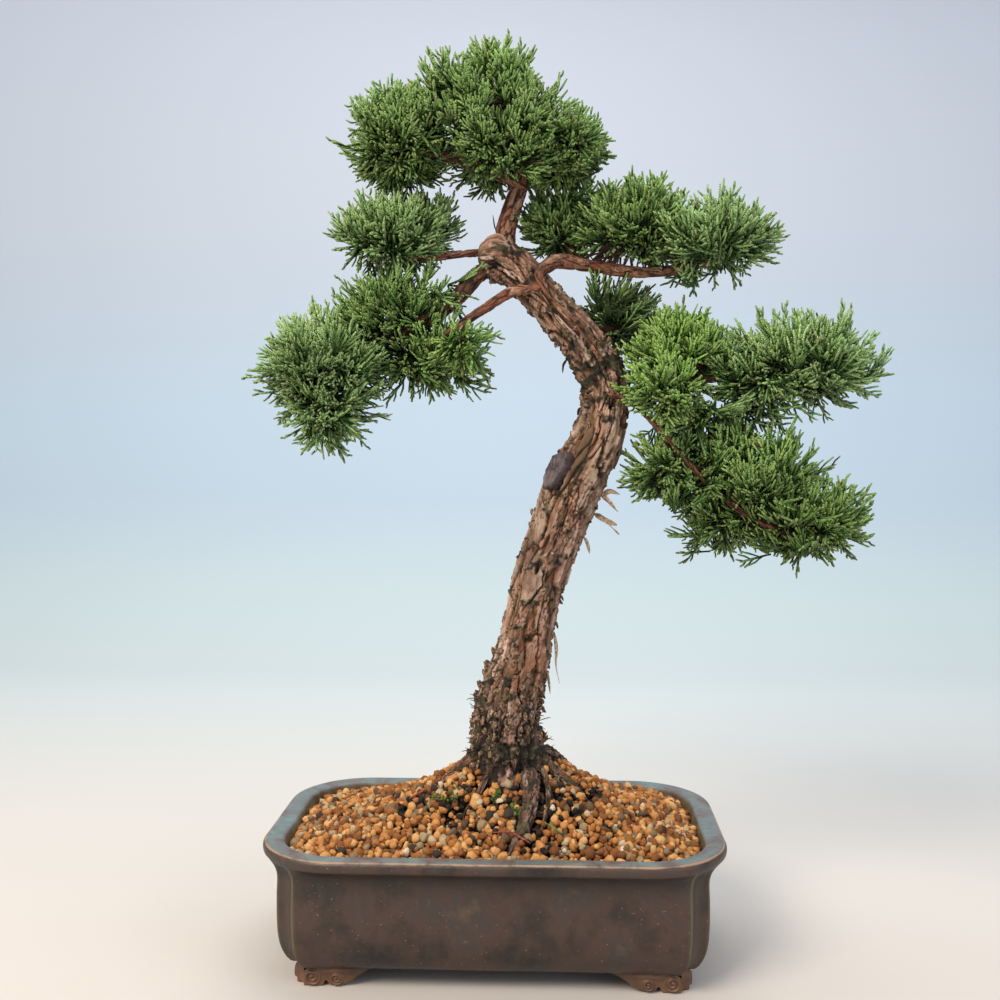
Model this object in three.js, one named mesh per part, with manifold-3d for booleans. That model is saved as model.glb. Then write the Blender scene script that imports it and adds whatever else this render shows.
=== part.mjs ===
// A juniper bonsai in an oblong stoneware pot with notched corners and four scroll feet.
// Millimetres, +Z up. The tree, soil and pot are drawn round the middle of the pot, and the whole
// group is then moved so that its origin is the middle of its bounding box, on the ground.
import * as THREE from 'three';
import { mergeVertices } from 'three/addons/utils/BufferGeometryUtils.js';
import Module from 'manifold-3d';

const wasm = await Module();
wasm.setup();

// ---------------------------------------------------------------- driving dimensions
const GAP = 0.3;                       // clearance between touching pieces
const POT = {
  length: 220, width: 136.5, height: 65, cornerRadius: 40,
  wall: 16, footHeight: 9.5, floorTop: 16.5,
};
const BODY = { halfLength: 100, halfWidth: 58.2, bite: 9, edge: 2.2 };
const FOOT = { length: 37, thickness: 7, insetX: 91, insetY: 49, biteRadius: 4, biteLength: 40 };
const DRAIN = { x: 48, radius: 9, cutLength: 30, meshSize: 28, meshThick: 1 };
const CLIP_WIRE = { radius: 0.6, steps: 26 };
const ANCHOR_WIRE = { radius: 0.75, steps: 40 };
const SEAL = { halfX: 5.6, halfY: 4, halfZ: 11.5, lean: 0.45, x: 30.5, y: -9.4, z: 238 };
const SOIL = { edge: 58.3, inset: 11.7, rise: 1.2, ridge: 11, cone: 27, coneX: 8, coneSpread: 30 };
const TRUNK_SIDES = 14;
const BRANCH_SIDES = 6;
const WIRE_SIDES = 6;
const HOLE_SIDES = 24;
const BITE_SIDES = 16;
const STEM_ROWS = 1.2;                 // rings for each step between two points of a stem

// ---------------------------------------------------------------- materials
const look = (color, roughness, metalness = 0) =>
  new THREE.MeshStandardMaterial({ color, roughness, metalness });
const MATERIALS = {
  stoneware: look(0x5b4a3f, 0.55),
  granules: look(0xb0763c, 0.95),
  bark: look(0x8d6a55, 0.9),
  youngBark: look(0x9a5b42, 0.85),
  foliage: look(0x3f6b2f, 0.7),
  brightFoliage: look(0x6b9440, 0.7),
  darkFoliage: look(0x2f5230, 0.7),
  cutPaste: look(0x55494a, 0.5),
  plasticNet: look(0x1d1f1e, 0.6),
  wire: look(0x8a6a4c, 0.45, 0.9),
};

// ---------------------------------------------------------------- solids from geometry
// A closed three.js geometry as a solid that can be joined and cut.
function solidOf(geometry) {
  const bare = geometry.clone();
  bare.deleteAttribute('normal');
  bare.deleteAttribute('uv');
  const merged = mergeVertices(bare, 1e-4);
  return new wasm.Manifold(new wasm.Mesh({
    numProp: 3,
    vertProperties: merged.attributes.position.array,
    triVerts: new Uint32Array(merged.index.array),
  }));
}

// The biggest body of a solid, so that a cut leaves no crumbs.
function biggest(solid) {
  const bodies = solid.decompose();
  return bodies.reduce((best, body) => (body.volume() > best.volume() ? body : best));
}

function meshOf(name, solid, material) {
  const cut = biggest(solid).getMesh();
  const geometry = new THREE.BufferGeometry();
  geometry.setAttribute('position', new THREE.BufferAttribute(cut.vertProperties, 3));
  geometry.setIndex(new THREE.BufferAttribute(cut.triVerts, 1));
  geometry.computeVertexNormals();
  const mesh = new THREE.Mesh(geometry, material);
  mesh.name = name;
  return mesh;
}

const join = (solids) => solids.reduce((all, one) => all.add(one));
const cutAll = (solid, tools) => tools.reduce((left, tool) => left.subtract(tool), solid);

// A capped cylinder whose side points and two cap centres are put elsewhere:
// place(angle, rise) for the side, with rise from 0 at the bottom to 1 at the top, and
// capCentre(rise) for the middle of each cap.
function reshapedCylinder(sides, rows, place, capCentre) {
  const cylinder = new THREE.CylinderGeometry(1, 1, 1, sides, rows);
  const position = cylinder.attributes.position;
  for (let i = 0; i < position.count; i += 1) {
    const [x, y, z] = [position.getX(i), position.getY(i), position.getZ(i)];
    const rise = Math.round((y + 0.5) * rows) / rows;
    const onAxis = Math.hypot(x, z) < 0.5;
    const turn = Math.round(Math.atan2(x, z) / (2 * Math.PI) * sides);
    const side = ((turn % sides) + sides) % sides;
    const at = onAxis ? capCentre(rise) : place(side, rise);
    position.setXYZ(i, at.x, at.y, at.z);
  }
  return solidOf(cylinder);
}

// A round tapering stem along points [x, y, z, radius], with flutes round it if asked for.
function stem(points, sides, grow = 0, flute = 0) {
  const curve = new THREE.CatmullRomCurve3(points.map(([x, y, z]) => new THREE.Vector3(x, y, z)));
  const radii = new THREE.CatmullRomCurve3(points.map(([, , , r], i) => new THREE.Vector3(i, r, 0)));
  const rows = Math.ceil(STEM_ROWS * (points.length - 1));
  const frames = curve.computeFrenetFrames(rows, false);
  const ringAt = (rise) => Math.round(rise * rows);
  return reshapedCylinder(sides, rows, (side, rise) => {
    const row = ringAt(rise);
    const angle = 2 * Math.PI * side / sides;
    const ripple = 1 + flute * Math.sin(3 * angle + 9 * rise);
    const radius = radii.getPoint(rise).y * ripple + grow;
    return curve.getPoint(rise)
      .addScaledVector(frames.normals[row], radius * Math.cos(angle))
      .addScaledVector(frames.binormals[row], radius * Math.sin(angle));
  }, (rise) => {
    const row = ringAt(rise);
    const outward = rise > 0.5 ? grow : -grow;
    return curve.getPoint(rise).addScaledVector(frames.tangents[row], outward);
  });
}

// A round wire of constant radius along points [x, y, z], extruded along a smooth path.
function wire(points, { radius, steps }, grow = 0) {
  const path = new THREE.CatmullRomCurve3(
    points.map(([x, y, z]) => new THREE.Vector3(x, y, z)), false, 'catmullrom', 0.2);
  const outer = radius + grow;
  const circle = new THREE.Shape(Array.from({ length: WIRE_SIDES }, (_, i) => {
    const angle = 2 * Math.PI * i / WIRE_SIDES;
    return new THREE.Vector2(outer * Math.cos(angle), outer * Math.sin(angle));
  }));
  return solidOf(new THREE.ExtrudeGeometry(circle, { steps, extrudePath: path, bevelEnabled: false }));
}

function block(x, y, z, lowX, lowY, lowZ) {
  return solidOf(new THREE.BoxGeometry(x, y, z).translate(lowX + x / 2, lowY + y / 2, lowZ + z / 2));
}

// ---------------------------------------------------------------- pot
// The body's plan, anticlockwise: straight panels, with a round bite out of each corner.
function bodyPlan() {
  const { halfLength: a, halfWidth: b, bite, edge } = BODY;
  const quarter = new THREE.Path();
  quarter.moveTo(a, 0);
  quarter.lineTo(a, b - 30);
  quarter.lineTo(a, b - 20);
  quarter.lineTo(a, b - bite - edge);
  quarter.quadraticCurveTo(a, b - bite, a - edge, b - bite);
  quarter.absarc(a, b, bite, 1.5 * Math.PI - edge / bite, Math.PI + edge / bite, true);
  quarter.quadraticCurveTo(a - bite, b, a - bite - edge, b);
  quarter.lineTo(a - 20, b);
  quarter.lineTo(a - 30, b);
  quarter.lineTo(0, b);
  const points = quarter.getPoints(2);
  const spaced = points.filter((p, i) => i === 0 || p.distanceTo(points[i - 1]) > 0.2);
  const firstQuarter = spaced.slice(0, -1);
  const mirror = spaced.map((p) => new THREE.Vector2(-p.x, p.y)).reverse().slice(0, -1);
  const upper = [...firstQuarter, ...mirror];
  const lower = upper.map((p) => new THREE.Vector2(-p.x, -p.y));
  return [...upper, ...lower];
}

// For a point of the plan: the way out towards the rim, and the point of the rim's edge there.
// The rim is an oblong with round corners, so the way out is square to it.
function towardsRim(point) {
  const coreX = POT.length / 2 - POT.cornerRadius;
  const coreY = POT.width / 2 - POT.cornerRadius;
  const core = new THREE.Vector2(
    THREE.MathUtils.clamp(point.x, -coreX, coreX),
    THREE.MathUtils.clamp(point.y, -coreY, coreY));
  const out = point.clone().sub(core).normalize();
  return { out, edge: core.addScaledVector(out, POT.cornerRadius) };
}

// The wall's section from under the pot, up its outside, over the rim and down inside.
// flare is 0 on the body's notched plan and 1 on the rim's; inset is measured inwards.
const WALL_SECTION = [
  { z: POT.footHeight, flare: 0, inset: 8.6 },
  { z: POT.footHeight + 1.2, flare: 0, inset: 6.4 },
  { z: 14, flare: 0, inset: 3.6 },
  { z: 19, flare: 0, inset: 1.4 },
  { z: 26, flare: 0, inset: 0.3 },
  { z: 37, flare: 0, inset: 0 },
  { z: 47, flare: 0, inset: 0.3 },
  { z: 52, flare: 0.06, inset: 0.4 },
  { z: 55.5, flare: 0.24, inset: 0.2 },
  { z: 58.5, flare: 0.6, inset: 0 },
  { z: 60, flare: 1, inset: 0.6 },
  { z: 62.3, flare: 1, inset: 0 },
  { z: 64.2, flare: 1, inset: 0.5 },
  { z: POT.height, flare: 1, inset: 2 },
  { z: POT.height - 0.2, flare: 1, inset: 8.8 },
  { z: POT.height - 1.6, flare: 1, inset: 10 },
  { z: 58, flare: 1, inset: 11.5 },
  { z: 50, flare: 1, inset: POT.wall },
  { z: 24, flare: 1, inset: POT.wall + 2.5 },
  { z: POT.floorTop, flare: 1, inset: POT.wall + 8 },
];

function wallPoint(body, { z, flare, inset }) {
  const { out, edge } = towardsRim(body);
  const at = body.clone().lerp(edge, flare).addScaledVector(out, -inset);
  return new THREE.Vector3(at.x, at.y, z);
}

function potShell() {
  const plan = bodyPlan();
  const rows = WALL_SECTION.length - 1;
  const rowAt = (rise) => WALL_SECTION[Math.round(rise * rows)];
  return reshapedCylinder(plan.length, rows,
    (side, rise) => wallPoint(plan[side], rowAt(rise)),
    (rise) => new THREE.Vector3(0, 0, rowAt(rise).z));
}

// One wing of a scroll foot, seen square on: a big lobe, a small lobe, then a long taper that
// runs out along the pot's bottom edge. It stands on z = 0 and runs along +X from the corner.
function footWing() {
  const top = POT.footHeight + 1;
  const outline = new THREE.Shape();
  outline.moveTo(0, top);
  outline.lineTo(0, 4);
  outline.quadraticCurveTo(0.2, 0, 4.5, 0);
  outline.lineTo(12.5, 0);
  outline.quadraticCurveTo(15.6, 0.2, 16, 2.4);
  outline.quadraticCurveTo(16.6, 0.7, 19.5, 0.7);
  outline.quadraticCurveTo(25, 0.8, 25.6, 4);
  outline.quadraticCurveTo(28, 7.4, FOOT.length, POT.footHeight - 0.4);
  outline.lineTo(FOOT.length, top);
  return new THREE.ExtrudeGeometry(outline,
    { depth: FOOT.thickness, bevelEnabled: false, curveSegments: 4 });
}

// A foot is two wings that meet at a right angle, with the corner bitten out like the body's.
// It is drawn in the corner at the origin, with its wings along +X and +Y.
function foot() {
  const along = footWing().rotateX(Math.PI / 2).translate(0, FOOT.thickness, 0);
  const across = footWing().rotateX(Math.PI / 2).rotateZ(Math.PI / 2);
  const { biteRadius, biteLength } = FOOT;
  const bite = new THREE.CylinderGeometry(biteRadius, biteRadius, biteLength, BITE_SIDES)
    .rotateX(Math.PI / 2);
  return solidOf(along).add(solidOf(across)).subtract(solidOf(bite));
}

function pot() {
  const quarterTurns = [
    [-FOOT.insetX, -FOOT.insetY, 0],
    [FOOT.insetX, -FOOT.insetY, 90],
    [FOOT.insetX, FOOT.insetY, 180],
    [-FOOT.insetX, FOOT.insetY, 270],
  ];
  const feet = quarterTurns.map(([x, y, turn]) => foot().rotate([0, 0, turn]).translate([x, y, 0]));
  const holes = [-DRAIN.x, DRAIN.x].map((x) => solidOf(
    new THREE.CylinderGeometry(DRAIN.radius, DRAIN.radius, DRAIN.cutLength, HOLE_SIDES)
      .rotateX(Math.PI / 2).translate(x, 0, POT.floorTop)));
  return cutAll(join([potShell(), ...feet]), holes);
}

// ---------------------------------------------------------------- drainage and anchor
// A square plastic net with a five by five grid of openings, lying over a drainage hole.
function drainMesh(x) {
  const half = DRAIN.meshSize / 2;
  const base = POT.floorTop + GAP;
  const pitch = 5;
  const opening = 3.6;
  const plate = block(DRAIN.meshSize, DRAIN.meshSize, DRAIN.meshThick, x - half, -half, base);
  const openings = [];
  for (let column = -2; column <= 2; column += 1) {
    for (let row = -2; row <= 2; row += 1) {
      openings.push(block(opening, opening, 3 * DRAIN.meshThick,
        x + column * pitch - opening / 2, row * pitch - opening / 2, base - DRAIN.meshThick));
    }
  }
  return cutAll(plate, openings);
}

// A wire clip: a bar over the net, two legs down through it, and ends bent out under the floor.
function meshClip(x) {
  const over = POT.floorTop + GAP + DRAIN.meshThick + GAP + CLIP_WIRE.radius;
  const under = POT.footHeight - GAP - CLIP_WIRE.radius - 0.1;
  const leg = 5;
  const end = 12;
  return wire([
    [x, -end, under], [x, -leg - 2, under], [x, -leg, under + 1.2], [x, -leg, 13],
    [x, -leg, over - 1.4], [x, -leg + 1.6, over], [x, leg - 1.6, over], [x, leg, over - 1.4],
    [x, leg, 13], [x, leg, under + 1.2], [x, leg + 2, under], [x, end, under],
  ], CLIP_WIRE);
}

// The wire that ties the tree in: from a twist over the roots, down through one drainage hole,
// along under the pot and up through the other hole to the twist again.
const ANCHOR_ROUTE = [
  [3, 31, 64], [-14, 29, 58], [-34, 16, 42], [-DRAIN.x - 5, 0, 28], [-DRAIN.x - 5, 0, 17],
  [-DRAIN.x - 4.4, 0, 9.6], [-DRAIN.x, 0, 8.2], [-20, 0, 8.2], [20, 0, 8.2], [DRAIN.x, 0, 8.2],
  [DRAIN.x + 4.4, 0, 9.6], [DRAIN.x + 5, 0, 17], [DRAIN.x + 5, 0, 28], [42, 16, 42],
  [24, 29, 58], [7, 31, 64],
];

// ---------------------------------------------------------------- tree: paths of its stems
// Each point is [x, y, z, radius].
const TRUNK = [
  [9, 0, 46, 17], [9, 0, 62, 20], [8, 0, 75, 19], [7, 0, 91, 16.8], [5, 0, 106, 16],
  [4.5, 0, 117, 15.8], [8, 0, 130, 14.4], [12.5, 0, 144, 13.8], [15.5, 0, 159, 12.9],
  [18.5, 0, 175, 12.3], [22.5, 0, 190, 12.6], [28, 0, 204, 12.4], [32, 0, 217, 12.7],
  [36.5, 0, 229, 13.5], [42, 0, 239, 13.2], [48, 0, 248, 12.4], [52.5, 0, 258, 11.8],
  [54.5, 0, 268, 10.9], [54, 0, 279, 10.3], [50, 0, 290, 9.9], [43, 0, 300, 9.6],
  [37, 0, 307, 9.4], [31, 0, 315, 8.8], [24.5, 0, 323, 8.5], [18, 0, 329.5, 8.6],
  [10, 0, 336.5, 8.9], [4, 0, 341.5, 9.2], [-1.5, 0, 345.5, 9], [-6, 0, 348.5, 6.6],
];
// Surface roots, then the roots that run out under the soil.
const ROOTS = [
  [[2, -6, 98, 6], [-4, -11, 94, 4.6], [-12, -14, 90.5, 3.6], [-20, -19, 86, 3], [-27, -26, 78, 2.4]],
  [[14, -8, 98, 7], [19, -17, 92, 5.4], [23, -25, 84, 4.4], [21, -34, 75, 3.8], [17, -42, 67, 3]],
  [[18, 2, 94, 6], [28, 2, 89, 4.6], [38, 0, 84, 3.6], [50, -4, 74, 2.6]],
  [[10, 8, 92, 7], [6, 20, 84, 5], [-4, 32, 72, 3.6], [-16, 40, 58, 2.4]],
  [[4, 0, 62, 9], [-24, 6, 52, 6], [-50, 16, 42, 3.6], [-70, 24, 33, 2]],
  [[14, 0, 62, 9], [40, -6, 52, 6], [62, -18, 40, 3.4], [76, -26, 31, 2]],
];
const BRANCHES = {
  leader: [[1, 0, 345, 6.4], [3, 0, 353, 5.1], [6, 0, 361, 4.8], [9, 0, 370, 4.6],
    [12.5, 0, 380, 4], [13, -2, 392, 3], [10, -3, 406, 2], [6, -2, 420, 1.3]],
  apex_branch_left: [[11, -1, 377, 3.4], [2, -6, 383, 3], [-14, -10, 388, 2.6],
    [-32, -10, 392, 2], [-48, -8, 396, 1.3]],
  apex_branch_right: [[13, -2, 385, 3], [21, -2, 390, 2.4], [30, -4, 393, 1.8], [40, -5, 394, 1.2]],
  branch_left_upper: [[0, 0, 345, 2.6], [-12, -1, 345.5, 2.1], [-22, -2, 344.5, 2.1],
    [-32, -4, 342, 1.9], [-44, -5, 343, 1.6], [-56, -6, 348, 1.1]],
  branch_left_middle: [[-1, 0, 343, 5], [-8, 0, 339, 4.3], [-13, 0, 330, 4.4],
    [-20, -1, 322.5, 4], [-28, -2, 316, 3.7], [-40, -3, 309, 3.1], [-56, -6, 302, 2.4],
    [-74, -9, 294, 1.7], [-90, -11, 289, 1.1]],
  branch_left_lower: [[19, -4, 326, 3.8], [13, -8, 327, 3.3], [5, -10, 324, 2.9],
    [-2, -12, 318.5, 2.7], [-11, -13, 312.5, 2.4], [-23, -13, 304, 2], [-33, -12, 297, 1.4]],
  branch_right_upper: [[27, -3, 322, 4.8], [21.5, -7, 330, 4.2], [20.5, -8, 337, 4],
    [25, -6, 341.5, 3.8], [34, -3, 340.5, 3.5], [47, -1, 338.5, 3.2], [63, 0, 336, 2.8],
    [80, -2, 335, 2.5], [95, -3, 337, 2.1], [111, -5, 343, 1.3]],
  branch_right_middle: [[54, 0, 274, 6], [64, -2, 273, 4.6], [78, -4, 277, 3.6], [96, -4, 282, 2.9],
    [116, -4, 287, 2.4], [136, -5, 291, 1.9], [152, -6, 294, 1.3]],
  branch_right_lower: [[52, -4, 276, 6.5], [62, -8, 273, 5.4], [70, -10, 269, 4.8],
    [78, -12, 260, 4.4], [86, -13, 251, 4.3], [93, -13, 242, 4], [103, -12, 231, 3.4],
    [118, -10, 219, 2.8], [134, -9, 210, 2.1], [149, -8, 205, 1.4]],
  branch_back: [[36, 2, 308, 4.4], [44, 12, 309, 3.4], [52, 21, 309, 2.8], [62, 30, 311, 2.2],
    [72, 37, 313, 1.5]],
};

// ---------------------------------------------------------------- foliage pads
// Each pad is a cluster of lumpy balls [x, y, z, half-size along x, along y, along z].
const PADS = {
  foliage_apex_crown: [[-6, 0, 408, 42, 36, 26], [1, 0, 426, 18, 25, 21], [-21, 6, 420, 24, 24, 17],
    [5, -22, 395, 28, 18, 20], [2, 24, 398, 28, 18, 20]],
  foliage_apex_left: [[-44, -6, 402, 25, 28, 22], [-51, 4, 391, 20, 22, 14]],
  foliage_apex_right: [[31, -4, 394, 23, 28, 17]],
  foliage_left_upper: [[-52, -5, 354, 27, 25, 17], [-35, 8, 361, 14, 17, 15]],
  foliage_left_middle: [[-49, 0, 315, 29, 30, 22], [-32, -2, 292, 27, 25, 15]],
  foliage_left_tip: [[-84, -10, 291, 31, 32, 23], [-82, -12, 267, 22, 22, 18]],
  foliage_left_sprig: [[-14, -22, 296, 10, 9, 13]],
  foliage_right_upper_inner: [[30, 10, 361, 18, 22, 17]],
  foliage_right_upper_middle: [[68, 0, 360, 26, 28, 20]],
  foliage_right_upper_tip: [[106, -4, 351, 30, 27, 17]],
  foliage_back: [[63, 36, 315, 22, 20, 16]],
  foliage_right_front: [[90, -2, 296, 24, 26, 22], [80, -26, 276, 19, 19, 16]],
  foliage_right_middle: [[128, 0, 284, 26, 28, 20], [152, -6, 290, 33, 30, 22]],
  foliage_right_lower_inner: [[92, -4, 239, 27, 26, 20]],
  foliage_right_lower_middle: [[126, -8, 238, 30, 29, 22], [112, 4, 215, 24, 22, 16]],
  foliage_right_lower_tip: [[150, -6, 214, 30, 27, 20]],
};
const BRIGHT = new Set(['foliage_right_front', 'foliage_left_upper']);
const DARK = new Set(['foliage_back', 'foliage_left_middle']);

function lumpyBall([x, y, z, halfX, halfY, halfZ], grow) {
  const ball = new THREE.IcosahedronGeometry(1, 1);
  const position = ball.attributes.position;
  for (let i = 0; i < position.count; i += 1) {
    const at = new THREE.Vector3().fromBufferAttribute(position, i).normalize();
    const wave = Math.sin(5 * at.x + 0.11 * z) * Math.cos(4 * at.y + 0.07 * x);
    const lump = 1 + 0.07 * wave + 0.04 * Math.sin(9 * at.z + 0.2 * y);
    position.setXYZ(i,
      x + at.x * (halfX * lump + grow),
      y + at.y * (halfY * lump + grow),
      z + at.z * (halfZ * lump + grow));
  }
  return solidOf(ball);
}

const pad = (balls, grow = 0) => join(balls.map((ball) => lumpyBall(ball, grow)));

// ---------------------------------------------------------------- soil
// The height of the soil: a long low ridge that rises a little to the right, with a cone round
// the foot of the trunk.
function soilHeight(x, y) {
  const along = 1 - Math.abs(x / 100) ** 3;
  const across = 1 - Math.abs(y / 58) ** 2.2;
  const away = (x - SOIL.coneX) ** 2 + y ** 2;
  return SOIL.edge + SOIL.rise * x / 100 + SOIL.ridge * Math.max(along, 0) * Math.max(across, 0)
    + SOIL.cone * Math.exp(-away / (2 * SOIL.coneSpread ** 2));
}

// The soil's outer skin: up the inside of the pot at a small gap, then inwards over its top.
function soilBody() {
  const inner = WALL_SECTION.slice(-4).reverse();
  const walls = inner.map((row) => ({ ...row, inset: row.inset + GAP }));
  walls[0].z = POT.floorTop + GAP;
  walls[3] = { z: SOIL.edge, flare: 1, inset: SOIL.inset + GAP };
  const plan = bodyPlan().filter((point, i) => i % 2 === 0);
  const shares = [0.88, 0.7, 0.52, 0.36, 0.22, 0.1];
  const rows = walls.length - 1 + shares.length;
  const place = (side, rise) => {
    const row = Math.round(rise * rows);
    if (row < walls.length) return wallPoint(plan[side], walls[row]);
    const edge = wallPoint(plan[side], walls[walls.length - 1]);
    const share = shares[row - walls.length];
    const at = new THREE.Vector3(edge.x * share, edge.y * share, 0);
    at.z = soilHeight(at.x, at.y);
    return at;
  };
  const centre = (rise) => new THREE.Vector3(0, 0, rise < 0.5 ? walls[0].z : soilHeight(0, 0));
  return reshapedCylinder(plan.length, rows, place, centre);
}

// ---------------------------------------------------------------- put together
const treeStems = [
  stem(TRUNK, TRUNK_SIDES, 0, 0.05),
  ...ROOTS.map((root) => stem(root, BRANCH_SIDES)),
];
const grownStems = [
  stem(TRUNK, TRUNK_SIDES, GAP, 0.05),
  ...ROOTS.map((root) => stem(root, BRANCH_SIDES, GAP)),
];
const trunkAndRoots = join(treeStems);
const roundTrunk = join(grownStems);

// The cut paste lies on the trunk's front left face, over an old pruning wound, and follows the bark.
const sealBall = solidOf(new THREE.SphereGeometry(1, 16, 10)
  .scale(SEAL.halfX, SEAL.halfY, SEAL.halfZ).rotateY(SEAL.lean).translate(SEAL.x, SEAL.y, SEAL.z));

const group = new THREE.Group();
group.add(meshOf('pot', pot(), MATERIALS.stoneware));

const anchor = wire(ANCHOR_ROUTE, ANCHOR_WIRE);
const roundAnchor = wire(ANCHOR_ROUTE, ANCHOR_WIRE, GAP);
group.add(meshOf('trunk_and_roots', cutAll(trunkAndRoots, [roundAnchor]), MATERIALS.bark));
group.add(meshOf('anchor_wire', anchor, MATERIALS.wire));

const soilTools = [roundTrunk, roundAnchor];
for (const [side, x] of [['left', -DRAIN.x], ['right', DRAIN.x]]) {
  group.add(meshOf(`drain_mesh_${side}`, drainMesh(x), MATERIALS.plasticNet));
  group.add(meshOf(`mesh_clip_${side}`, meshClip(x), MATERIALS.wire));
  const recess = DRAIN.meshSize + 2 * GAP;
  soilTools.push(block(recess, recess, 3.6, x - recess / 2, -recess / 2, POT.floorTop));
}
group.add(meshOf('soil', cutAll(soilBody(), soilTools), MATERIALS.granules));
group.add(meshOf('wound_seal', cutAll(sealBall, [roundTrunk]), MATERIALS.cutPaste));

// Branches in order, each cut clear of the trunk and of the branches before it.
const stemTools = [roundTrunk];
for (const [name, points] of Object.entries(BRANCHES)) {
  group.add(meshOf(name, cutAll(stem(points, BRANCH_SIDES), stemTools), MATERIALS.youngBark));
  stemTools.push(stem(points, BRANCH_SIDES, GAP));
}

// Foliage pads in order, each cut clear of every stem and of the pads before it.
const padTools = [...stemTools];
for (const [name, balls] of Object.entries(PADS)) {
  const tone = (BRIGHT.has(name) && MATERIALS.brightFoliage)
    || (DARK.has(name) && MATERIALS.darkFoliage) || MATERIALS.foliage;
  group.add(meshOf(name, cutAll(pad(balls), padTools), tone));
  padTools.push(pad(balls, GAP));
}

// Origin: the middle of the bounding box, on the ground under the feet.
const bounds = new THREE.Box3().setFromObject(group);
const middle = bounds.getCenter(new THREE.Vector3());
group.children.forEach((mesh) => mesh.position.set(-middle.x, -middle.y, -bounds.min.z));

export default group;
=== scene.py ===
# %% [markdown]
# # A juniper bonsai in an oblong stoneware pot
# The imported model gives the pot, the soil, the trunk, every branch and every pad of foliage as
# plain solids in their true places. This lesson keeps those places and makes the fine surfaces:
# glaze, clay granules, flaking bark and thousands of cord-like shoots.

# %% Load the fixed frame
import math

import bpy
import numpy as np
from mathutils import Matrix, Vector
from mathutils.bvhtree import BVHTree


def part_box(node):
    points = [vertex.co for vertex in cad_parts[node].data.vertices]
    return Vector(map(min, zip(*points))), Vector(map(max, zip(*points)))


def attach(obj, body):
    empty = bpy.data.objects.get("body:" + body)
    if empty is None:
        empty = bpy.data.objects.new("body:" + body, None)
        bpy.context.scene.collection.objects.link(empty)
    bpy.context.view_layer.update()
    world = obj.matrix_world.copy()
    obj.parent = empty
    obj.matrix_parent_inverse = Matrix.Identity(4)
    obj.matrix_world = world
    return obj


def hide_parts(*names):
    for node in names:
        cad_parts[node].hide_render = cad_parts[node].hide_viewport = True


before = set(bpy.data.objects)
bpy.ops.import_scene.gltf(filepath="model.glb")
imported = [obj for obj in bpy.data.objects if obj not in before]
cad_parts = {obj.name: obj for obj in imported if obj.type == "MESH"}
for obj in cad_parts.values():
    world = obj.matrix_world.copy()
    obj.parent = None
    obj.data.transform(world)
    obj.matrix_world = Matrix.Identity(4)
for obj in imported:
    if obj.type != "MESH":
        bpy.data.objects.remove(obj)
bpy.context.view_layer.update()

# %% [markdown]
# ## Millimetres round the pot's middle
# A bonsai grower measures from the pot, so every shape here is worked out in millimetres with the
# middle of the pot at x = 0, y = 0 and the table at z = 0. One line turns that into metres in the
# shared frame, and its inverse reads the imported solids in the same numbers.

# %% Units and places
MM = 0.001
pot_low, pot_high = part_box("pot")
POT_MIDDLE = np.array([(pot_low[0] + pot_high[0]) / 2, (pot_low[1] + pot_high[1]) / 2, 0.0])


def to_frame(points):
    """Millimetres from the pot's middle, turned to metres in the shared frame."""
    return points * MM + POT_MIDDLE


def node_points(name):
    """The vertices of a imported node, in millimetres from the pot's middle, three for each triangle."""
    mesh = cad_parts[name].data
    mesh.calc_loop_triangles()
    places = np.empty(len(mesh.vertices) * 3)
    mesh.vertices.foreach_get("co", places)
    corners = np.empty(len(mesh.loop_triangles) * 3, dtype=np.int32)
    mesh.loop_triangles.foreach_get("vertices", corners)
    places = (places.reshape(-1, 3) - POT_MIDDLE) / MM
    return places[corners].reshape(-1, 3, 3)


print("pot middle in the frame:", POT_MIDDLE.round(4))

# %% [markdown]
# ## From arrays to meshes
# A surface is an array of points and an array of faces. `build` puts both into a mesh with
# `foreach_set`, so that even two hundred thousand faces take a moment. The object stays at the
# origin. Numbers that a material needs at each point go in as named attributes.

# %% Mesh builder
def outward(points, faces):
    """The faces, all turned round if the volume they close comes out below nothing: the sum over
    the faces of the volume of the pyramid from the middle to each."""
    middle = points.mean(0)
    volume = 0
    for block in faces:
        corner = points[block] - middle
        for k in range(1, block.shape[1] - 1):
            volume += np.sum(corner[:, 0] * np.cross(corner[:, k], corner[:, k + 1]))
    return faces if volume > 0 else [block[:, ::-1] for block in faces]


def build(name, points, faces, material, uv=None, staged=False, **attributes):
    """One smooth-shaded mesh object from points (n, 3) in mm and a list of face arrays, each
    (m, corners). A staged piece belongs to the scene and not to the object."""
    mesh = bpy.data.meshes.new(name)
    mesh.vertices.add(len(points))
    mesh.vertices.foreach_set("co", to_frame(points).astype(np.float32).ravel())
    corners = np.concatenate([block.ravel() for block in faces]).astype(np.int32)
    sizes = np.concatenate([np.full(len(block), block.shape[1]) for block in faces])
    starts = np.concatenate([[0], np.cumsum(sizes)[:-1]]).astype(np.int32)
    mesh.loops.add(len(corners))
    mesh.loops.foreach_set("vertex_index", corners)
    mesh.polygons.add(len(sizes))
    mesh.polygons.foreach_set("loop_start", starts)
    mesh.update(calc_edges=True)
    mesh.polygons.foreach_set("use_smooth", np.ones(len(sizes), dtype=bool))
    for key, values in attributes.items():
        mesh.attributes.new(key, "FLOAT", "POINT").data.foreach_set("value", values.astype(np.float32))
    if uv is not None:
        layer = mesh.uv_layers.new(name="OFBake")
        layer.data.foreach_set("uv", uv[corners].astype(np.float32).ravel())
    mesh.materials.append(material)
    piece = bpy.data.objects.new(name, mesh)
    bpy.context.scene.collection.objects.link(piece)
    if staged:
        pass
    else:
        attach(piece, "root")
    print(f"{name}: {len(points)} points, {len(corners) - 2 * len(sizes)} triangles")
    return piece


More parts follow.
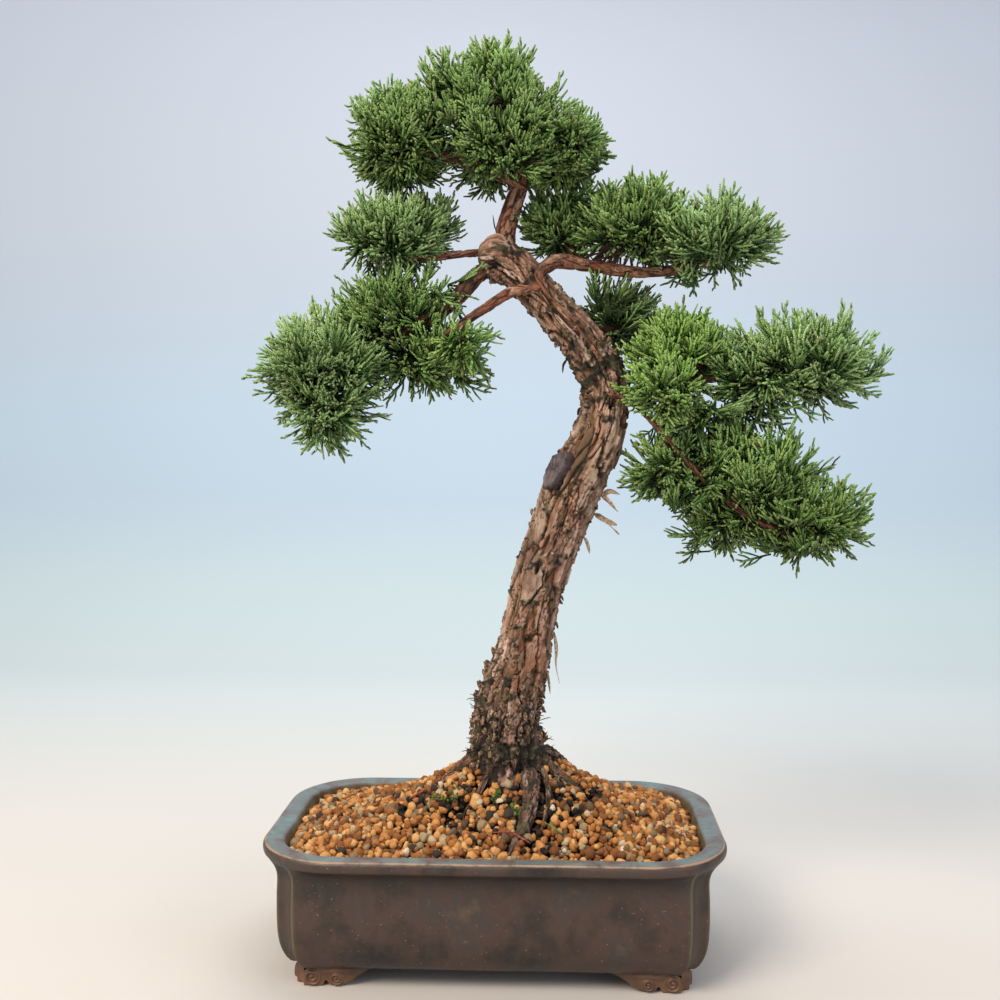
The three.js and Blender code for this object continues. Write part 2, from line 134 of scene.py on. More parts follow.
def grid_faces(rows, columns, closed=True):
    """Quads over a grid of points stored row by row, closed round each row if asked."""
    across = columns if closed else columns - 1
    row, column = np.meshgrid(np.arange(rows - 1), np.arange(across), indexing="ij")
    here = row * columns + column
    beside = row * columns + (column + 1) % columns
    return np.stack([here, beside, beside + columns, here + columns], -1).reshape(-1, 4)


def tube(grid):
    """Points and faces of a closed tube from rings (rows, columns, 3): each end is a fan."""
    rows, columns = grid.shape[:2]
    points = np.concatenate([grid.reshape(-1, 3), grid[:1].mean(1), grid[-1:].mean(1)])
    ring = np.arange(columns)
    beside = (ring + 1) % columns
    first, last = rows * columns, rows * columns + 1
    top = (rows - 1) * columns
    start_cap = np.stack([beside, ring, np.full(columns, first)], -1)
    end_cap = np.stack([top + ring, top + beside, np.full(columns, last)], -1)
    return points, outward(points, [grid_faces(rows, columns), start_cap, end_cap])


def joined(shapes):
    """Several (points, faces) as one: the faces of each count on from the points before it."""
    points = np.concatenate([shape[0] for shape in shapes])
    faces = []
    count = 0
    for shape_points, shape_faces in shapes:
        faces += [block + count for block in shape_faces]
        count += len(shape_points)
    return points, faces


def unit(vectors):
    """Vectors scaled to length one along the last axis."""
    return vectors / np.maximum(np.linalg.norm(vectors, axis=-1, keepdims=True), 1e-9)


# %% [markdown]
# ## Chance that repeats
# Bark and shoots need chance, but each run must give the same tree. Every maker below starts a
# generator of its own from a fixed seed number. Two patterns do most of the work: smooth noise, a grid
# of random heights blended with an S-curve, and cell noise, the distance to scattered points.

# %% Noise on a surface that closes on itself
def smooth_noise(u, v, period, seed):
    """Random heights at whole numbers of u and v, blended between them; u repeats after period."""
    table = np.random.default_rng(seed).random((period, 512))
    u0, v0 = np.floor(u).astype(int), np.floor(v).astype(int)
    fu, fv = u - u0, v - v0
    fu, fv = fu * fu * (3 - 2 * fu), fv * fv * (3 - 2 * fv)
    at = lambda i, j: table[(u0 + i) % period, (v0 + j) % 512]
    low = at(0, 0) * (1 - fu) + at(1, 0) * fu
    high = at(0, 1) * (1 - fu) + at(1, 1) * fu
    return low * (1 - fv) + high * fv


def cell_noise(u, v, period, seed):
    """For each point: the gap between its nearest two scattered centres, the nearest centre's
    random number, and the way across from that centre. u repeats after period."""
    table = np.random.default_rng(seed).random((period, 512, 3))
    u0, v0 = np.floor(u).astype(int), np.floor(v).astype(int)
    nearest = np.full(u.shape, 9.0)
    second = np.full(u.shape, 9.0)
    tone, across = np.zeros(u.shape), np.zeros(u.shape)
    for du in (-1, 0, 1):
        for dv in (-1, 0, 1):
            centre = table[(u0 + du) % period, (v0 + dv) % 512]
            side = u - (u0 + du + centre[..., 0])
            far = np.hypot(side, v - (v0 + dv + centre[..., 1]))
            closer = far < nearest
            second = np.where(closer, nearest, np.minimum(second, far))
            tone = np.where(closer, centre[..., 2], tone)
            across = np.where(closer, side, across)
            nearest = np.minimum(nearest, far)
    return second - nearest, tone, across


def step(low, high, value):
    """0 below low, 1 above high, and an S-curve between."""
    share = np.clip((value - low) / (high - low), 0, 1)
    return share * share * (3 - 2 * share)


# %% [markdown]
# ## Colours and nodes
# Colours are written as sRGB hex, as a colour picker shows them, and one function makes them
# linear for the shader. One small function adds a node: its settings, then its inputs, which are
# numbers, colours or another node's output.

# %% Colour and node helpers
MIX_FACTOR, MIX_A, MIX_B, MIX_RESULT = 0, 6, 7, 2


def linear(hex_colour):
    """An sRGB hex colour as linear RGBA."""
    parts = [int(hex_colour[i:i + 2], 16) / 255 for i in (1, 3, 5)]
    return [c / 12.92 if c <= 0.04045 else ((c + 0.055) / 1.055) ** 2.4 for c in parts] + [1.0]


def add(tree, kind, inputs=None, stops=None, **settings):
    """Adds one node. Inputs are numbers, hex colours or sockets; stops fill a colour ramp."""
    node = tree.nodes.new(kind)
    for key, value in settings.items():
        setattr(node, key, value)
    if stops:
        while len(node.color_ramp.elements) < len(stops):
            node.color_ramp.elements.new(0.5)
        for element, (place, colour) in zip(node.color_ramp.elements, stops):
            element.position = place
            element.color = linear(colour)
    for key, value in (inputs or {}).items():
        if isinstance(value, bpy.types.NodeSocket):
            tree.links.new(value, node.inputs[key])
        else:
            node.inputs[key].default_value = linear(value) if isinstance(value, str) else value
    return node


def new_material(name, roughness, **fixed):
    """A material with one Principled shader; fixed values go straight on its own sockets."""
    material = bpy.data.materials.new(name)
    material.use_nodes = True
    tree = material.node_tree
    shader = tree.nodes["Principled BSDF"]
    shader.inputs["Roughness"].default_value = roughness
    for key, value in fixed.items():
        shader.inputs[key.replace("_", " ")].default_value = value
    return material, tree, shader


def layer_colours(tree, base, layers):
    """Lays colours over a base: each layer is (mask socket, colour or socket)."""
    for mask, colour in layers:
        mix = add(tree, "ShaderNodeMix", {MIX_FACTOR: mask, MIX_A: base, MIX_B: colour},
                  data_type="RGBA")
        base = mix.outputs[MIX_RESULT]
    return base


# %% [markdown]
# ## Camera, floor and light
# The camera stands a little over half a metre away, almost level with the tree's middle, with a
# lens close to a normal one. The tree stands on a sheet of paper that curves up behind it, its
# colour graded with painted light, warm in front and bluer upwards. The light is a big soft box
# from the upper left front, weaker ones from the right and from above, and a pale room all round.

# %% Camera
# Angles in degrees made radians, places in mm, and the lens in mm for a sensor 36 mm wide.
CAMERA_TURN = math.radians(2.577)
CAMERA_RISE = math.radians(2.111)
CAMERA_DISTANCE = 560
AIM_HEIGHT = 223.781
AIM_SIDE = 1.8
LENS = 40.63

right_way = np.array([math.cos(CAMERA_TURN), math.sin(CAMERA_TURN), 0])
back_way = np.array([math.sin(CAMERA_TURN) * math.cos(CAMERA_RISE),
                     -math.cos(CAMERA_TURN) * math.cos(CAMERA_RISE), math.sin(CAMERA_RISE)])
aim = np.array([0, 0, AIM_HEIGHT]) + AIM_SIDE * right_way
camera = bpy.data.objects.new("camera", bpy.data.cameras.new("camera"))
camera.data.lens = LENS
camera.data.sensor_width = 36
camera.location = to_frame(aim + CAMERA_DISTANCE * back_way)
camera.rotation_euler = Vector(-back_way).to_track_quat("-Z", "Y").to_euler()
bpy.context.scene.collection.objects.link(camera)
bpy.context.scene.camera = camera
print("camera at", [round(value, 3) for value in camera.location])

# %% Floor and light
floor_material, tree, shader = new_material("matt_paper", 0.9)
floor_place = add(tree, "ShaderNodeTexCoord").outputs["Object"]
floor_parts = add(tree, "ShaderNodeSeparateXYZ", {"Vector": floor_place})
floor_sum = add(tree, "ShaderNodeMath", {0: floor_parts.outputs["Y"], 1: floor_parts.outputs["Z"]},
                operation="ADD").outputs[0]
floor_run = add(tree, "ShaderNodeMapRange", {"Value": floor_sum, "From Max": 2.1})
# Painted light: the paper's colour is graded from warm in front to bluer up the sweep.
painted_light_ramp = add(tree, "ShaderNodeValToRGB", {"Fac": floor_run.outputs["Result"]},
           stops=[(0.0, "#c7bfb7"), (0.13, "#c9c6c1"), (0.29, "#c9d0cf"), (0.48, "#beccce"),
                  (0.61, "#b5c4d1"), (0.71, "#b9c9d7"), (0.87, "#c4cbd6"), (0.99, "#c7cedb")])
tree.links.new(painted_light_ramp.outputs["Color"], shader.inputs["Base Color"])
SWEEP_START = 700
SWEEP_RADIUS = 500
PAPER_REACH = 3000
PAPER_TOP = 2600
FLAT_STEPS = 12


def paper_sweep():
    """A sheet of paper: flat from far in front to behind the tree, then up a quarter circle and
    on straight up, the same at every x."""
    turn = np.linspace(0, np.pi / 2, 24)
    depth = np.concatenate([np.linspace(-PAPER_REACH, SWEEP_START, FLAT_STEPS)[:-1],
                            SWEEP_START + SWEEP_RADIUS * np.sin(turn), [SWEEP_START + SWEEP_RADIUS]])
    height = np.concatenate([np.zeros(FLAT_STEPS - 1), SWEEP_RADIUS * (1 - np.cos(turn)), [PAPER_TOP]])
    side = np.linspace(-PAPER_REACH, PAPER_REACH, 13)
    x, y = np.meshgrid(side, depth)
    return np.stack([x, y, np.repeat(height[:, None], len(side), 1)], -1)


sweep = paper_sweep()
build("floor", sweep.reshape(-1, 3), [grid_faces(*sweep.shape[:2], closed=False)], floor_material,
      staged=True)

world = bpy.data.worlds.new("pale_room")
world.use_nodes = True
world.node_tree.nodes["Background"].inputs["Color"].default_value = linear("#dfe6ee")
world.node_tree.nodes["Background"].inputs["Strength"].default_value = 0.72
bpy.context.scene.world = world
bpy.context.scene.view_settings.view_transform = "Standard"


def soft_box(name, place, size, watts, colour):
    """A square area light at a place in mm, turned towards the tree's middle."""
    lamp = bpy.data.lights.new(name, "AREA")
    lamp.size = size
    lamp.energy = watts
    lamp.color = linear(colour)[:3]
    box = bpy.data.objects.new(name, lamp)
    box.location = to_frame(np.array(place))
    box.rotation_euler = (Vector((0, 0, AIM_HEIGHT)) - Vector(place)).to_track_quat("-Z", "Y").to_euler()
    bpy.context.scene.collection.objects.link(box)


soft_box("key_light", (-700, -900, 1150), 0.7, 23, "#fff4e4")
soft_box("fill_light", (1000, -700, 700), 0.9, 5, "#eaf1ff")
soft_box("top_light", (100, 300, 1300), 0.9, 9, "#ffffff")
print("floor, room and three soft boxes are up")

# %% [markdown]
# ## The pot's shape
# The pot was pressed in a mould: an oblong body with a round bite out of each corner, which flares
# through a cove to a rim with plainly rounded corners, on four scroll feet. Its wall is one
# profile carried round a plan. The profile blends from the notched plan to the rim's plan, so the
# body's two corner creases run out to the rim by themselves.

# %% Pot plan and section
POT_LENGTH, POT_WIDTH = (np.array(pot_high) - np.array(pot_low))[:2] / MM
RIM_CORNER = 40
BODY_HALF = np.array([100, 58.2])
BITE = 9
SIDE_STEPS, BITE_STEPS, FRONT_STEPS = 46, 21, 70
FOOT_HEIGHT = 9.5
FLOOR_TOP = 16.5
# Each row: height, flare (0 on the notched plan, 1 on the rim's), and inset from that plan.
WALL_ROWS = np.array([
    (9.5, 0, 8.6), (9.9, 0, 7.2), (10.7, 0, 6.2), (12.4, 0, 4.7), (15.5, 0, 2.9), (19, 0, 1.5),
    (24, 0, 0.5), (30, 0, 0.1), (37, 0, 0), (44, 0, 0.1), (49, 0.01, 0.4), (52.5, 0.07, 0.5),
    (55.5, 0.24, 0.3), (57.6, 0.5, 0.2), (59, 0.82, 0.5), (59.7, 1, 0.9), (60.5, 1, 0.25),
    (62, 1, 0), (63.4, 1, 0.2), (64.3, 1, 0.8), (64.9, 1, 1.8), (65, 1, 3.2), (64.95, 1, 5.5),
    (64.85, 1, 7.8), (64.5, 1, 9.2), (63.6, 1, 10.1), (61, 1, 10.8), (57, 1, 12), (50, 1, 15.4),
    (38, 1, 17), (26, 1, 18), (20, 1, 19.8), (17.2, 1, 22.4), (16.5, 1, 25)])


def quarter_plan():
    """A quarter of the notched plan: two straight panels with a concave arc between them."""
    half_x, half_y = BODY_HALF
    turn = np.linspace(1.5 * np.pi, np.pi, BITE_STEPS)
    bite = np.stack([half_x + BITE * np.cos(turn), half_y + BITE * np.sin(turn)], -1)
    side = np.stack([np.full(SIDE_STEPS, half_x), np.linspace(0, half_y - BITE, SIDE_STEPS)], -1)
    front = np.stack([np.linspace(half_x - BITE, 0, FRONT_STEPS), np.full(FRONT_STEPS, half_y)], -1)
    return np.concatenate([side[:-1], bite, front[1:]])


quarter = quarter_plan()
upper = np.concatenate([quarter[:-1], (quarter * [-1, 1])[::-1][:-1]])
plan = np.concatenate([upper, -upper])
bite_ends = quarter[[SIDE_STEPS - 1, SIDE_STEPS + BITE_STEPS - 2]]
crease_points = np.concatenate([bite_ends * sign for sign in ([1, 1], [-1, 1], [1, -1], [-1, -1])])
crease_distance = np.linalg.norm(plan[:, None] - crease_points[None], axis=-1).min(1)
for _ in range(3):
    plan = (np.roll(plan, 1, 0) + 2 * plan + np.roll(plan, -1, 0)) / 4
print(len(plan), "points round the pot")


def refined(rows, times):
    """A profile with extra rows on a smooth curve through the given ones."""
    last = len(rows) - 1
    fine = np.linspace(0, last, last * times + 1)
    low = np.clip(fine.astype(int), 0, last - 1)
    t = (fine - low)[:, None]
    before, after = rows[np.maximum(low - 1, 0)], rows[np.minimum(low + 2, last)]
    a, b = rows[low], rows[low + 1]
    return 0.5 * (2 * a + (b - before) * t + (2 * before - 5 * a + 4 * b - after) * t ** 2
                  + (3 * a - before - 3 * b + after) * t ** 3)


def pot_wall():
    """The wall: for each height, the plan's point blended towards the rim's edge by the flare,
    then moved in by the inset. Returns the rings, and masks for the glaze."""
    core_half = np.array([POT_LENGTH, POT_WIDTH]) / 2 - RIM_CORNER
    core = np.clip(plan, -core_half, core_half)
    out = unit(plan - core)
    edge = core + out * RIM_CORNER
    rows = refined(WALL_ROWS, 3)
    height, flare, inset = rows[:, 0, None, None], rows[:, 1, None, None], rows[:, 2, None, None]
    flat = plan * (1 - flare) + edge * flare - out * inset
    wobble = 0.18 * np.sin(3 * np.arctan2(plan[:, 1], plan[:, 0]) + 1) + 0.12 * np.sin(
        7 * np.arctan2(plan[:, 1], plan[:, 0]))
    flat += out * wobble[None, :, None]
    return np.concatenate([flat, np.broadcast_to(height, flat.shape[:2] + (1,))], -1), rows


# %% [markdown]
# ## Scroll feet
# Each foot is two wings at a right angle. From the corner a wing carries a big rolled lobe, a
# small one, and a long taper. The lobes are coils pressed into the clay: their relief is a ridge
# that winds inwards as its angle turns.

# %% Foot wing
WING_LENGTH = 37
WING_THICK = 7
FOOT_PLACE = np.array([91, 49])
FOOT_BITE = 4
LOBES = [(8.0, 4.6, 3.7), (19.3, 4.0, 2.9)]      # along the wing, height, radius


def wing_bottom(x):
    """Height of a wing's underside: flat under the big lobe, a nick, the small lobe, the taper."""
    nick = 2.2 * np.exp(-((x - 14.2) / 1.1) ** 2)
    small = 0.75 * step(12.5, 16, x)
    taper = (FOOT_HEIGHT - 1.2) * step(21.5, WING_LENGTH + 1, x) ** 0.85
    toe = 3.4 * np.clip(1 - x / 3.4, 0, 1) ** 2
    return np.maximum(nick + small + taper, toe)


def wing_relief(x, z):
    """How far the front face stands out: each lobe is a dome with a spiral ridge in it."""
    relief = np.zeros_like(x)
    for along, height, radius in LOBES:
        far = np.hypot(x - along, z - height) / radius
        angle = np.arctan2(z - height, x - along)
        ridge = 0.5 + 0.5 * np.cos(2 * np.pi * (far * 1.9 - angle / (2 * np.pi)))
        relief += step(1.15, 0.85, far) * (0.45 + 1.05 * ridge)
    leaf = step(0, 1, 1 - np.abs(z - 7.4 - 0.05 * (x - 14)) / 2.2) * step(10, 15, x) * step(36, 24, x)
    return np.maximum(relief, 0.8 * leaf)


def foot_wing():
    """A wing: for each step along it a closed loop goes up its front, back over the top, down
    its back and under. The bite at the corner draws the front face in."""
    along = np.linspace(0, WING_LENGTH, 110)[:, None]
    rise = np.linspace(0, 1, 40)[None, :]
    bottom = wing_bottom(along)
    front_z = bottom + (FOOT_HEIGHT + 1.5 - bottom) * rise
    soft = 0.7 * (1 - np.clip(rise / 0.08, 0, 1)) ** 2
    bite = np.sqrt(np.maximum(FOOT_BITE ** 2 - along ** 2, 0))
    front_y = bite + soft - wing_relief(along + 0 * rise, front_z)
    back_y = np.full_like(front_z, WING_THICK)
    x = np.broadcast_to(along, front_z.shape)
    front = np.stack([x, front_y, front_z], -1)
    back = np.stack([x, back_y, front_z], -1)[:, ::4][:, ::-1]
    return np.concatenate([front, back], 1)


def pot_feet():
    """Four feet: each wing and its mirror image in the corner's diagonal, turned to its corner."""
    wing = foot_wing()
    shapes = []
    for sign_x, sign_y in ((-1, -1), (1, -1), (1, 1), (-1, 1)):
        corner = np.array([sign_x * FOOT_PLACE[0], sign_y * FOOT_PLACE[1], 0])
        for swap in (False, True):
            local = wing[..., [1, 0, 2]] if swap else wing
            placed = local * [-sign_x, -sign_y, 1] + corner
            mirrored = swap ^ (sign_x * sign_y < 0)
            shapes.append(tube(placed[:, ::-1] if mirrored else placed))
    return shapes


# %% [markdown]
# ## Drainage holes
# Two round holes go through the pot's floor, under the nets. They could be left out, as the soil
# hides them from above, but they show from below. A cylinder is cut out of the closed wall.

# %% Drainage holes
DRAIN_PLACES = (-48, 48)
DRAIN_RADIUS = 9
DRILL_LENGTH = 30


def drilled(piece):
    """Cuts the two drainage holes through the pot's floor, and the piece keeps the result."""
    for place in DRAIN_PLACES:
        centre = to_frame(np.array([place, 0, FLOOR_TOP - 3]))
        bpy.ops.mesh.primitive_cylinder_add(vertices=48, radius=DRAIN_RADIUS * MM, depth=DRILL_LENGTH * MM,
                                            location=centre)
        drill = bpy.context.object
        cut = piece.modifiers.new("drain", "BOOLEAN")
        cut.object = drill
        cut.solver = "EXACT"
        bpy.context.view_layer.update()
        shaped = bpy.data.meshes.new_from_object(
            piece.evaluated_get(bpy.context.evaluated_depsgraph_get()))
        piece.modifiers.clear()
        piece.data = shaped
        bpy.data.objects.remove(drill)


# %% [markdown]
# ## Reduction-fired glaze
# The body wears a thin matt iron glaze: purple-brown, clouded with blue-grey where it pooled and
# olive where it is thin, with faint runs down the wall and tiny pale specks. On the rim the
# celadon lies thick and blue-green over red-brown. Edges are worn to tan clay.

# %% Glaze material
def glaze():
    """Satin stoneware glaze. Clouds are 12 to 40 mm, runs 2 mm wide, specks under 1 mm."""
    material, tree, shader = new_material("stoneware_glaze", 0.42)
    place = add(tree, "ShaderNodeTexCoord").outputs["Object"]
    runs = add(tree, "ShaderNodeMapping", {"Vector": place, "Scale": (1, 1, 0.16)}).outputs[0]
    mask = {key: add(tree, "ShaderNodeAttribute", attribute_name=key).outputs["Fac"]
            for key in ("rim_top", "worn", "crease", "inside", "foot", "cove")}
    cloud = add(tree, "ShaderNodeTexNoise", {"Vector": place, "Scale": 34.0, "Detail": 5.0,
                                             "Roughness": 0.62})
    streak = add(tree, "ShaderNodeTexNoise", {"Vector": runs, "Scale": 420.0, "Detail": 3.0})
    speck = add(tree, "ShaderNodeTexNoise", {"Vector": place, "Scale": 900.0, "Detail": 1.0})
    patch = add(tree, "ShaderNodeTexNoise", {"Vector": place, "Scale": 60.0, "Detail": 6.0,
                                             "Roughness": 0.7, "Distortion": 0.6})
    body = add(tree, "ShaderNodeValToRGB", {"Fac": cloud.outputs["Fac"]},
               stops=[(0.34, "#1f1815"), (0.44, "#33271f"), (0.53, "#443127"), (0.62, "#3a312c"),
                      (0.72, "#564331")]).outputs["Color"]
    celadon = add(tree, "ShaderNodeValToRGB", {"Fac": patch.outputs["Fac"]},
                  stops=[(0.36, "#59453e"), (0.46, "#63605d"), (0.56, "#627170"), (0.7, "#6d857b")]
                  ).outputs["Color"]
    inner = add(tree, "ShaderNodeValToRGB", {"Fac": patch.outputs["Fac"]},
                stops=[(0.35, "#4e3423"), (0.5, "#62523a"), (0.65, "#75705a")]).outputs["Color"]
    clay = add(tree, "ShaderNodeValToRGB", {"Fac": cloud.outputs["Fac"]},
               stops=[(0.35, "#4d3424"), (0.5, "#6d4a31"), (0.62, "#8a6344")]).outputs["Color"]
    run_mask = add(tree, "ShaderNodeMapRange", {"Value": streak.outputs["Fac"], "From Min": 0.5,
                                                "From Max": 0.8, "To Max": 0.36}).outputs["Result"]
    speck_mask = add(tree, "ShaderNodeMapRange", {"Value": speck.outputs["Fac"], "From Min": 0.74,
                                                  "From Max": 0.78, "To Max": 0.6}).outputs["Result"]
    broken = add(tree, "ShaderNodeMath", {0: mask["worn"], 1: patch.outputs["Fac"]},
                 operation="MULTIPLY").outputs[0]
    worn_mask = add(tree, "ShaderNodeMapRange", {"Value": broken, "From Min": 0.3, "From Max": 0.5}
                    ).outputs["Result"]
    # Painted shade: the cove under the rim's overhang and the feet's tops under the pot are darkened.
    colour = layer_colours(tree, body, [
        (run_mask, "#463d38"), (mask["cove"], "#1f1612"), (speck_mask, "#94805e"),
        (mask["crease"], "#6d6a42"), (mask["inside"], inner), (mask["rim_top"], celadon),
        (worn_mask, "#9c7c62"), (mask["foot"], clay)])
    tree.links.new(colour, shader.inputs["Base Color"])
    rough = add(tree, "ShaderNodeMapRange", {"Value": cloud.outputs["Fac"], "From Min": 0.3,
                                             "From Max": 0.7, "To Min": 0.34, "To Max": 0.58})
    tree.links.new(rough.outputs["Result"], shader.inputs["Roughness"])
    skin = add(tree, "ShaderNodeTexNoise", {"Vector": place, "Scale": 500.0, "Detail": 4.0})
    bump = add(tree, "ShaderNodeBump", {"Height": skin.outputs["Fac"], "Strength": 0.35,
                                        "Distance": 0.0006})
    tree.links.new(bump.outputs["Normal"], shader.inputs["Normal"])
    return material


# %% Make the pot
# The wall's rows run up the outside, over the rim and down the inside: the share of them that is
# outside, and the share after which they are inside.
OUTER_SHARE = 0.62
INNER_SHARE = 0.7


def make_pot(finish):
    """The wall's rings close over the underside and the floor, and the holes are drilled last.
    Masks are worked out from height, flare and the distance to a crease."""
    rings, rows = pot_wall()
    points, faces = tube(rings)
    row_count, columns = rings.shape[:2]
    spread = lambda values: np.append(np.repeat(values, columns), [0, 0])
    height, flare, inset = rows.T
    index = np.arange(row_count)
    outer = index < row_count * OUTER_SHARE
    rim_top = step(0.8, 2.4, inset) * (height > 63.2) * step(11.0, 9.4, inset) * (flare > 0.99)
    worn = np.exp(-((inset - 1.2) / 0.8) ** 2) * (height > 62.8) * (flare > 0.99)
    worn = worn + 0.5 * np.exp(-((height - 60.1) / 0.5) ** 2) * outer
    # Painted shade in the cove under the rim's overhang.
    cove = 0.55 * step(49, 55, height) * step(60.5, 58.5, height) * outer
    inside = (index > row_count * INNER_SHARE).astype(float)
    near = np.exp(-(crease_distance / 0.9) ** 2)
    shown = 0.5 * step(12, 24, height) * step(62, 56, height) * outer
    crease = np.append((shown[:, None] * near[None, :]).ravel(), [0, 0])
    piece = build("glazed_pot", points, faces, finish, rim_top=spread(rim_top), worn=spread(worn),
                  crease=crease, inside=spread(inside), foot=spread(0 * height), cove=spread(cove))
    drilled(piece)
    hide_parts("pot")


def make_feet(finish):
    """The four scroll feet as one piece under the pot, all marked as bare clay, with painted
    shade on their tops where they meet the pot.
    """
    points, faces = joined(pot_feet())
    none = np.zeros(len(points))
    bare = np.clip(0.55 + 0.45 * step(6, 1, points[:, 2]), 0, 1)
    piece = build("scroll_feet", points, faces, finish, rim_top=none, worn=none, crease=none,
                  inside=none, foot=bare, cove=0.6 * step(6.5, 9.5, points[:, 2]))
    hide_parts("pot")


stoneware_glaze = glaze()
make_pot(stoneware_glaze)
make_feet(stoneware_glaze)

# %% [markdown]
# ## Reading a stem back from its solid
# Each stem was packed as a plain faceted solid. Slicing it with many parallel planes gives its
# middle line and its thickness, which is all that a finer stem needs. A slice keeps the points
# where the solid's edges cross the plane.

# %% Spines
def slices(name, axis, levels, keep=None):
    """Middle point and half-depth of a solid at each level along an axis (0 for x, 2 for z)."""
    corners = node_points(name)
    starts = corners.reshape(-1, 3)
    ends = np.roll(corners, -1, 1).reshape(-1, 3)
    found = []
    for level in levels:
        a, b = starts[:, axis] - level, ends[:, axis] - level
        crossing = (a * b < 0)
        share = (a / (a - b + 1e-12))[crossing, None]
        points = starts[crossing] * (1 - share) + ends[crossing] * share
        if keep is not None:
            points = points[keep(points)]
        if len(points) < 3:
            continue
        low, high = points.min(0), points.max(0)
        found.append([*(low + high) / 2, (high[1] - low[1]) / 2])
    return np.array(found)


def resampled(spine, spacing, smoothing=2):
    """Points and radii (n, 4) at even steps along a spine, after blending each with its
    neighbours a few times."""
    line = spine.copy()
    for _ in range(smoothing):
        line[1:-1] = (line[:-2] + 2 * line[1:-1] + line[2:]) / 4
    length = np.concatenate([[0], np.cumsum(np.linalg.norm(np.diff(line[:, :3], axis=0), axis=1))])
    at = np.linspace(0, length[-1], max(int(length[-1] / spacing), 4) + 1)
    return np.stack([np.interp(at, length, line[:, k]) for k in range(4)], -1)


def frames_along(line):
    """At each point of a line: its direction and two directions square to it, which turn as
    little as they can because they are carried from one fixed way."""
    direction = unit(np.gradient(line, axis=0))
    steady = np.array([0, -1.0, 0])
    side = unit(np.cross(direction, steady))
    return direction, side, np.cross(side, direction)


# %% [markdown]
# ## Old juniper bark
# Juniper bark splits into long upright plates that lift at their edges and peel in strings. The
# surface is the stem's tube, pushed in and out: cell noise stretched along the stem makes the
# plates and the fissures between them, each plate tilts a little, and smooth noise adds fibres.

# %% Bark surface
def bark_tube(line, columns, plate, depth, seed, flakes=0.0, knots=()):
    """A stem's rings, displaced as bark. line is (n, 4) with radii, plate the width and length of
    a plate in mm, depth the fissures' depth in mm, flakes 1 where small flakes stand out. Returns
    rings, and masks for the material."""
    centre, radius = line[:, :3], line[:, 3:4]
    direction, side, front = frames_along(centre)
    angle = np.linspace(0, 2 * np.pi, columns, endpoint=False)[None, :]
    run = np.concatenate([[0], np.cumsum(np.linalg.norm(np.diff(centre, axis=0), axis=1))])[:, None]
    around = max(int(round(2 * np.pi * radius.mean() / plate[0])), 4)
    u = angle / (2 * np.pi) * around + 0 * run
    v = run / plate[1] + 0 * angle
    warp_u = smooth_noise(u, v * 2.2, around, seed + 1) - 0.5
    warp_v = smooth_noise(u * 2, v * 1.5, around * 2, seed + 2) - 0.5
    ragged = smooth_noise(u * 8, v * 22, around * 8, seed + 6) - 0.5
    jag = smooth_noise(u * 4, v * 9, around * 4, seed + 7) - 0.5
    gap, tone, across = cell_noise(u + 0.85 * warp_u + 0.22 * jag + 0.1 * ragged,
                                   v + 0.9 * warp_v + 0.16 * jag, around, seed)
    fine_gap, fine_tone, _ = cell_noise(u * 3 + 1.3 * warp_u + 0.5 * ragged,
                                        v * 3.4 + 1.4 * jag, around * 3, seed + 3)
    fibre = smooth_noise(u * 9, v * 5, around * 9, seed + 4)
    coarse = smooth_noise(u, v * 0.8, around, seed + 5)
    patchy = smooth_noise(u * 2, v * 5, around * 2, seed + 9)
    flaky = np.maximum(step(0.45, 0.62, smooth_noise(u, v * 1.6, around, seed + 8)), flakes)
    plate_top = step(0.0, 0.15, gap - 0.07 * patchy)
    fine_top = step(0.02, 0.2, fine_gap)
    tilt = (tone - 0.5) * across * 1.4
    height = depth * (0.8 * plate_top + 0.7 * tone * plate_top + tilt * plate_top
                      + (0.12 + 0.5 * flaky) * fine_top * (0.6 + 0.8 * fine_tone)
                      + 0.3 * (fibre - 0.5) + 0.7 * (coarse - 0.5) - 1.3)
    # Painted shade: fissures darken, most on the side where a plate's edge lies over them, and so do the
    # gaps between small flakes.
    shaded = 0.3 + 0.9 * step(-0.15, 0.3, across) * (0.35 + patchy)
    crack = (1 - plate_top) * shaded + (0.1 + 0.55 * flaky) * (1 - fine_top) * (0.3 + patchy)
    for knot_run, knot_angle, knot_size, knot_rise in knots:
        away = (angle - knot_angle + np.pi) % (2 * np.pi) - np.pi
        far = np.hypot(away * radius, (run - knot_run) * 0.8) / knot_size + 0.5 * jag
        rings = 0.5 + 0.5 * np.cos(far * 2 * np.pi * 1.7)
        bulge = step(1.15, 0.55, far)
        height = height * (1 - 0.7 * bulge) + bulge * (knot_rise * (0.4 + 0.6 * rings) - 0.2)
        # Painted shade in the grooves between a knot's rings.
        crack = crack * (1 - 0.7 * bulge) + bulge * (0.5 * (1 - rings))
    push = radius + height
    turn = np.cos(angle)[..., None] * front[:, None] + np.sin(angle)[..., None] * side[:, None]
    rings_out = centre[:, None] + turn * push[..., None]
    hue = (tone * 7.3 + 0.35 * (fine_tone - 0.5) * (0.4 + flaky)) % 1
    rise = step(-1.1, 0.75, height / depth + 0.5 * (fibre - 0.5))
    masks = {"tone": np.clip(0.2 + 0.6 * tone + (0.3 + 0.4 * flaky) * (fine_tone - 0.5), 0, 1),
             "crack": np.clip(crack, 0, 1), "rise": rise, "hue": hue}
    return rings_out, masks


def capped(masks):
    """Mask values for a tube's points, with the two fan centres added."""
    return {key: np.concatenate([values.ravel(), [0.5, 0.5]]) for key, values in masks.items()}


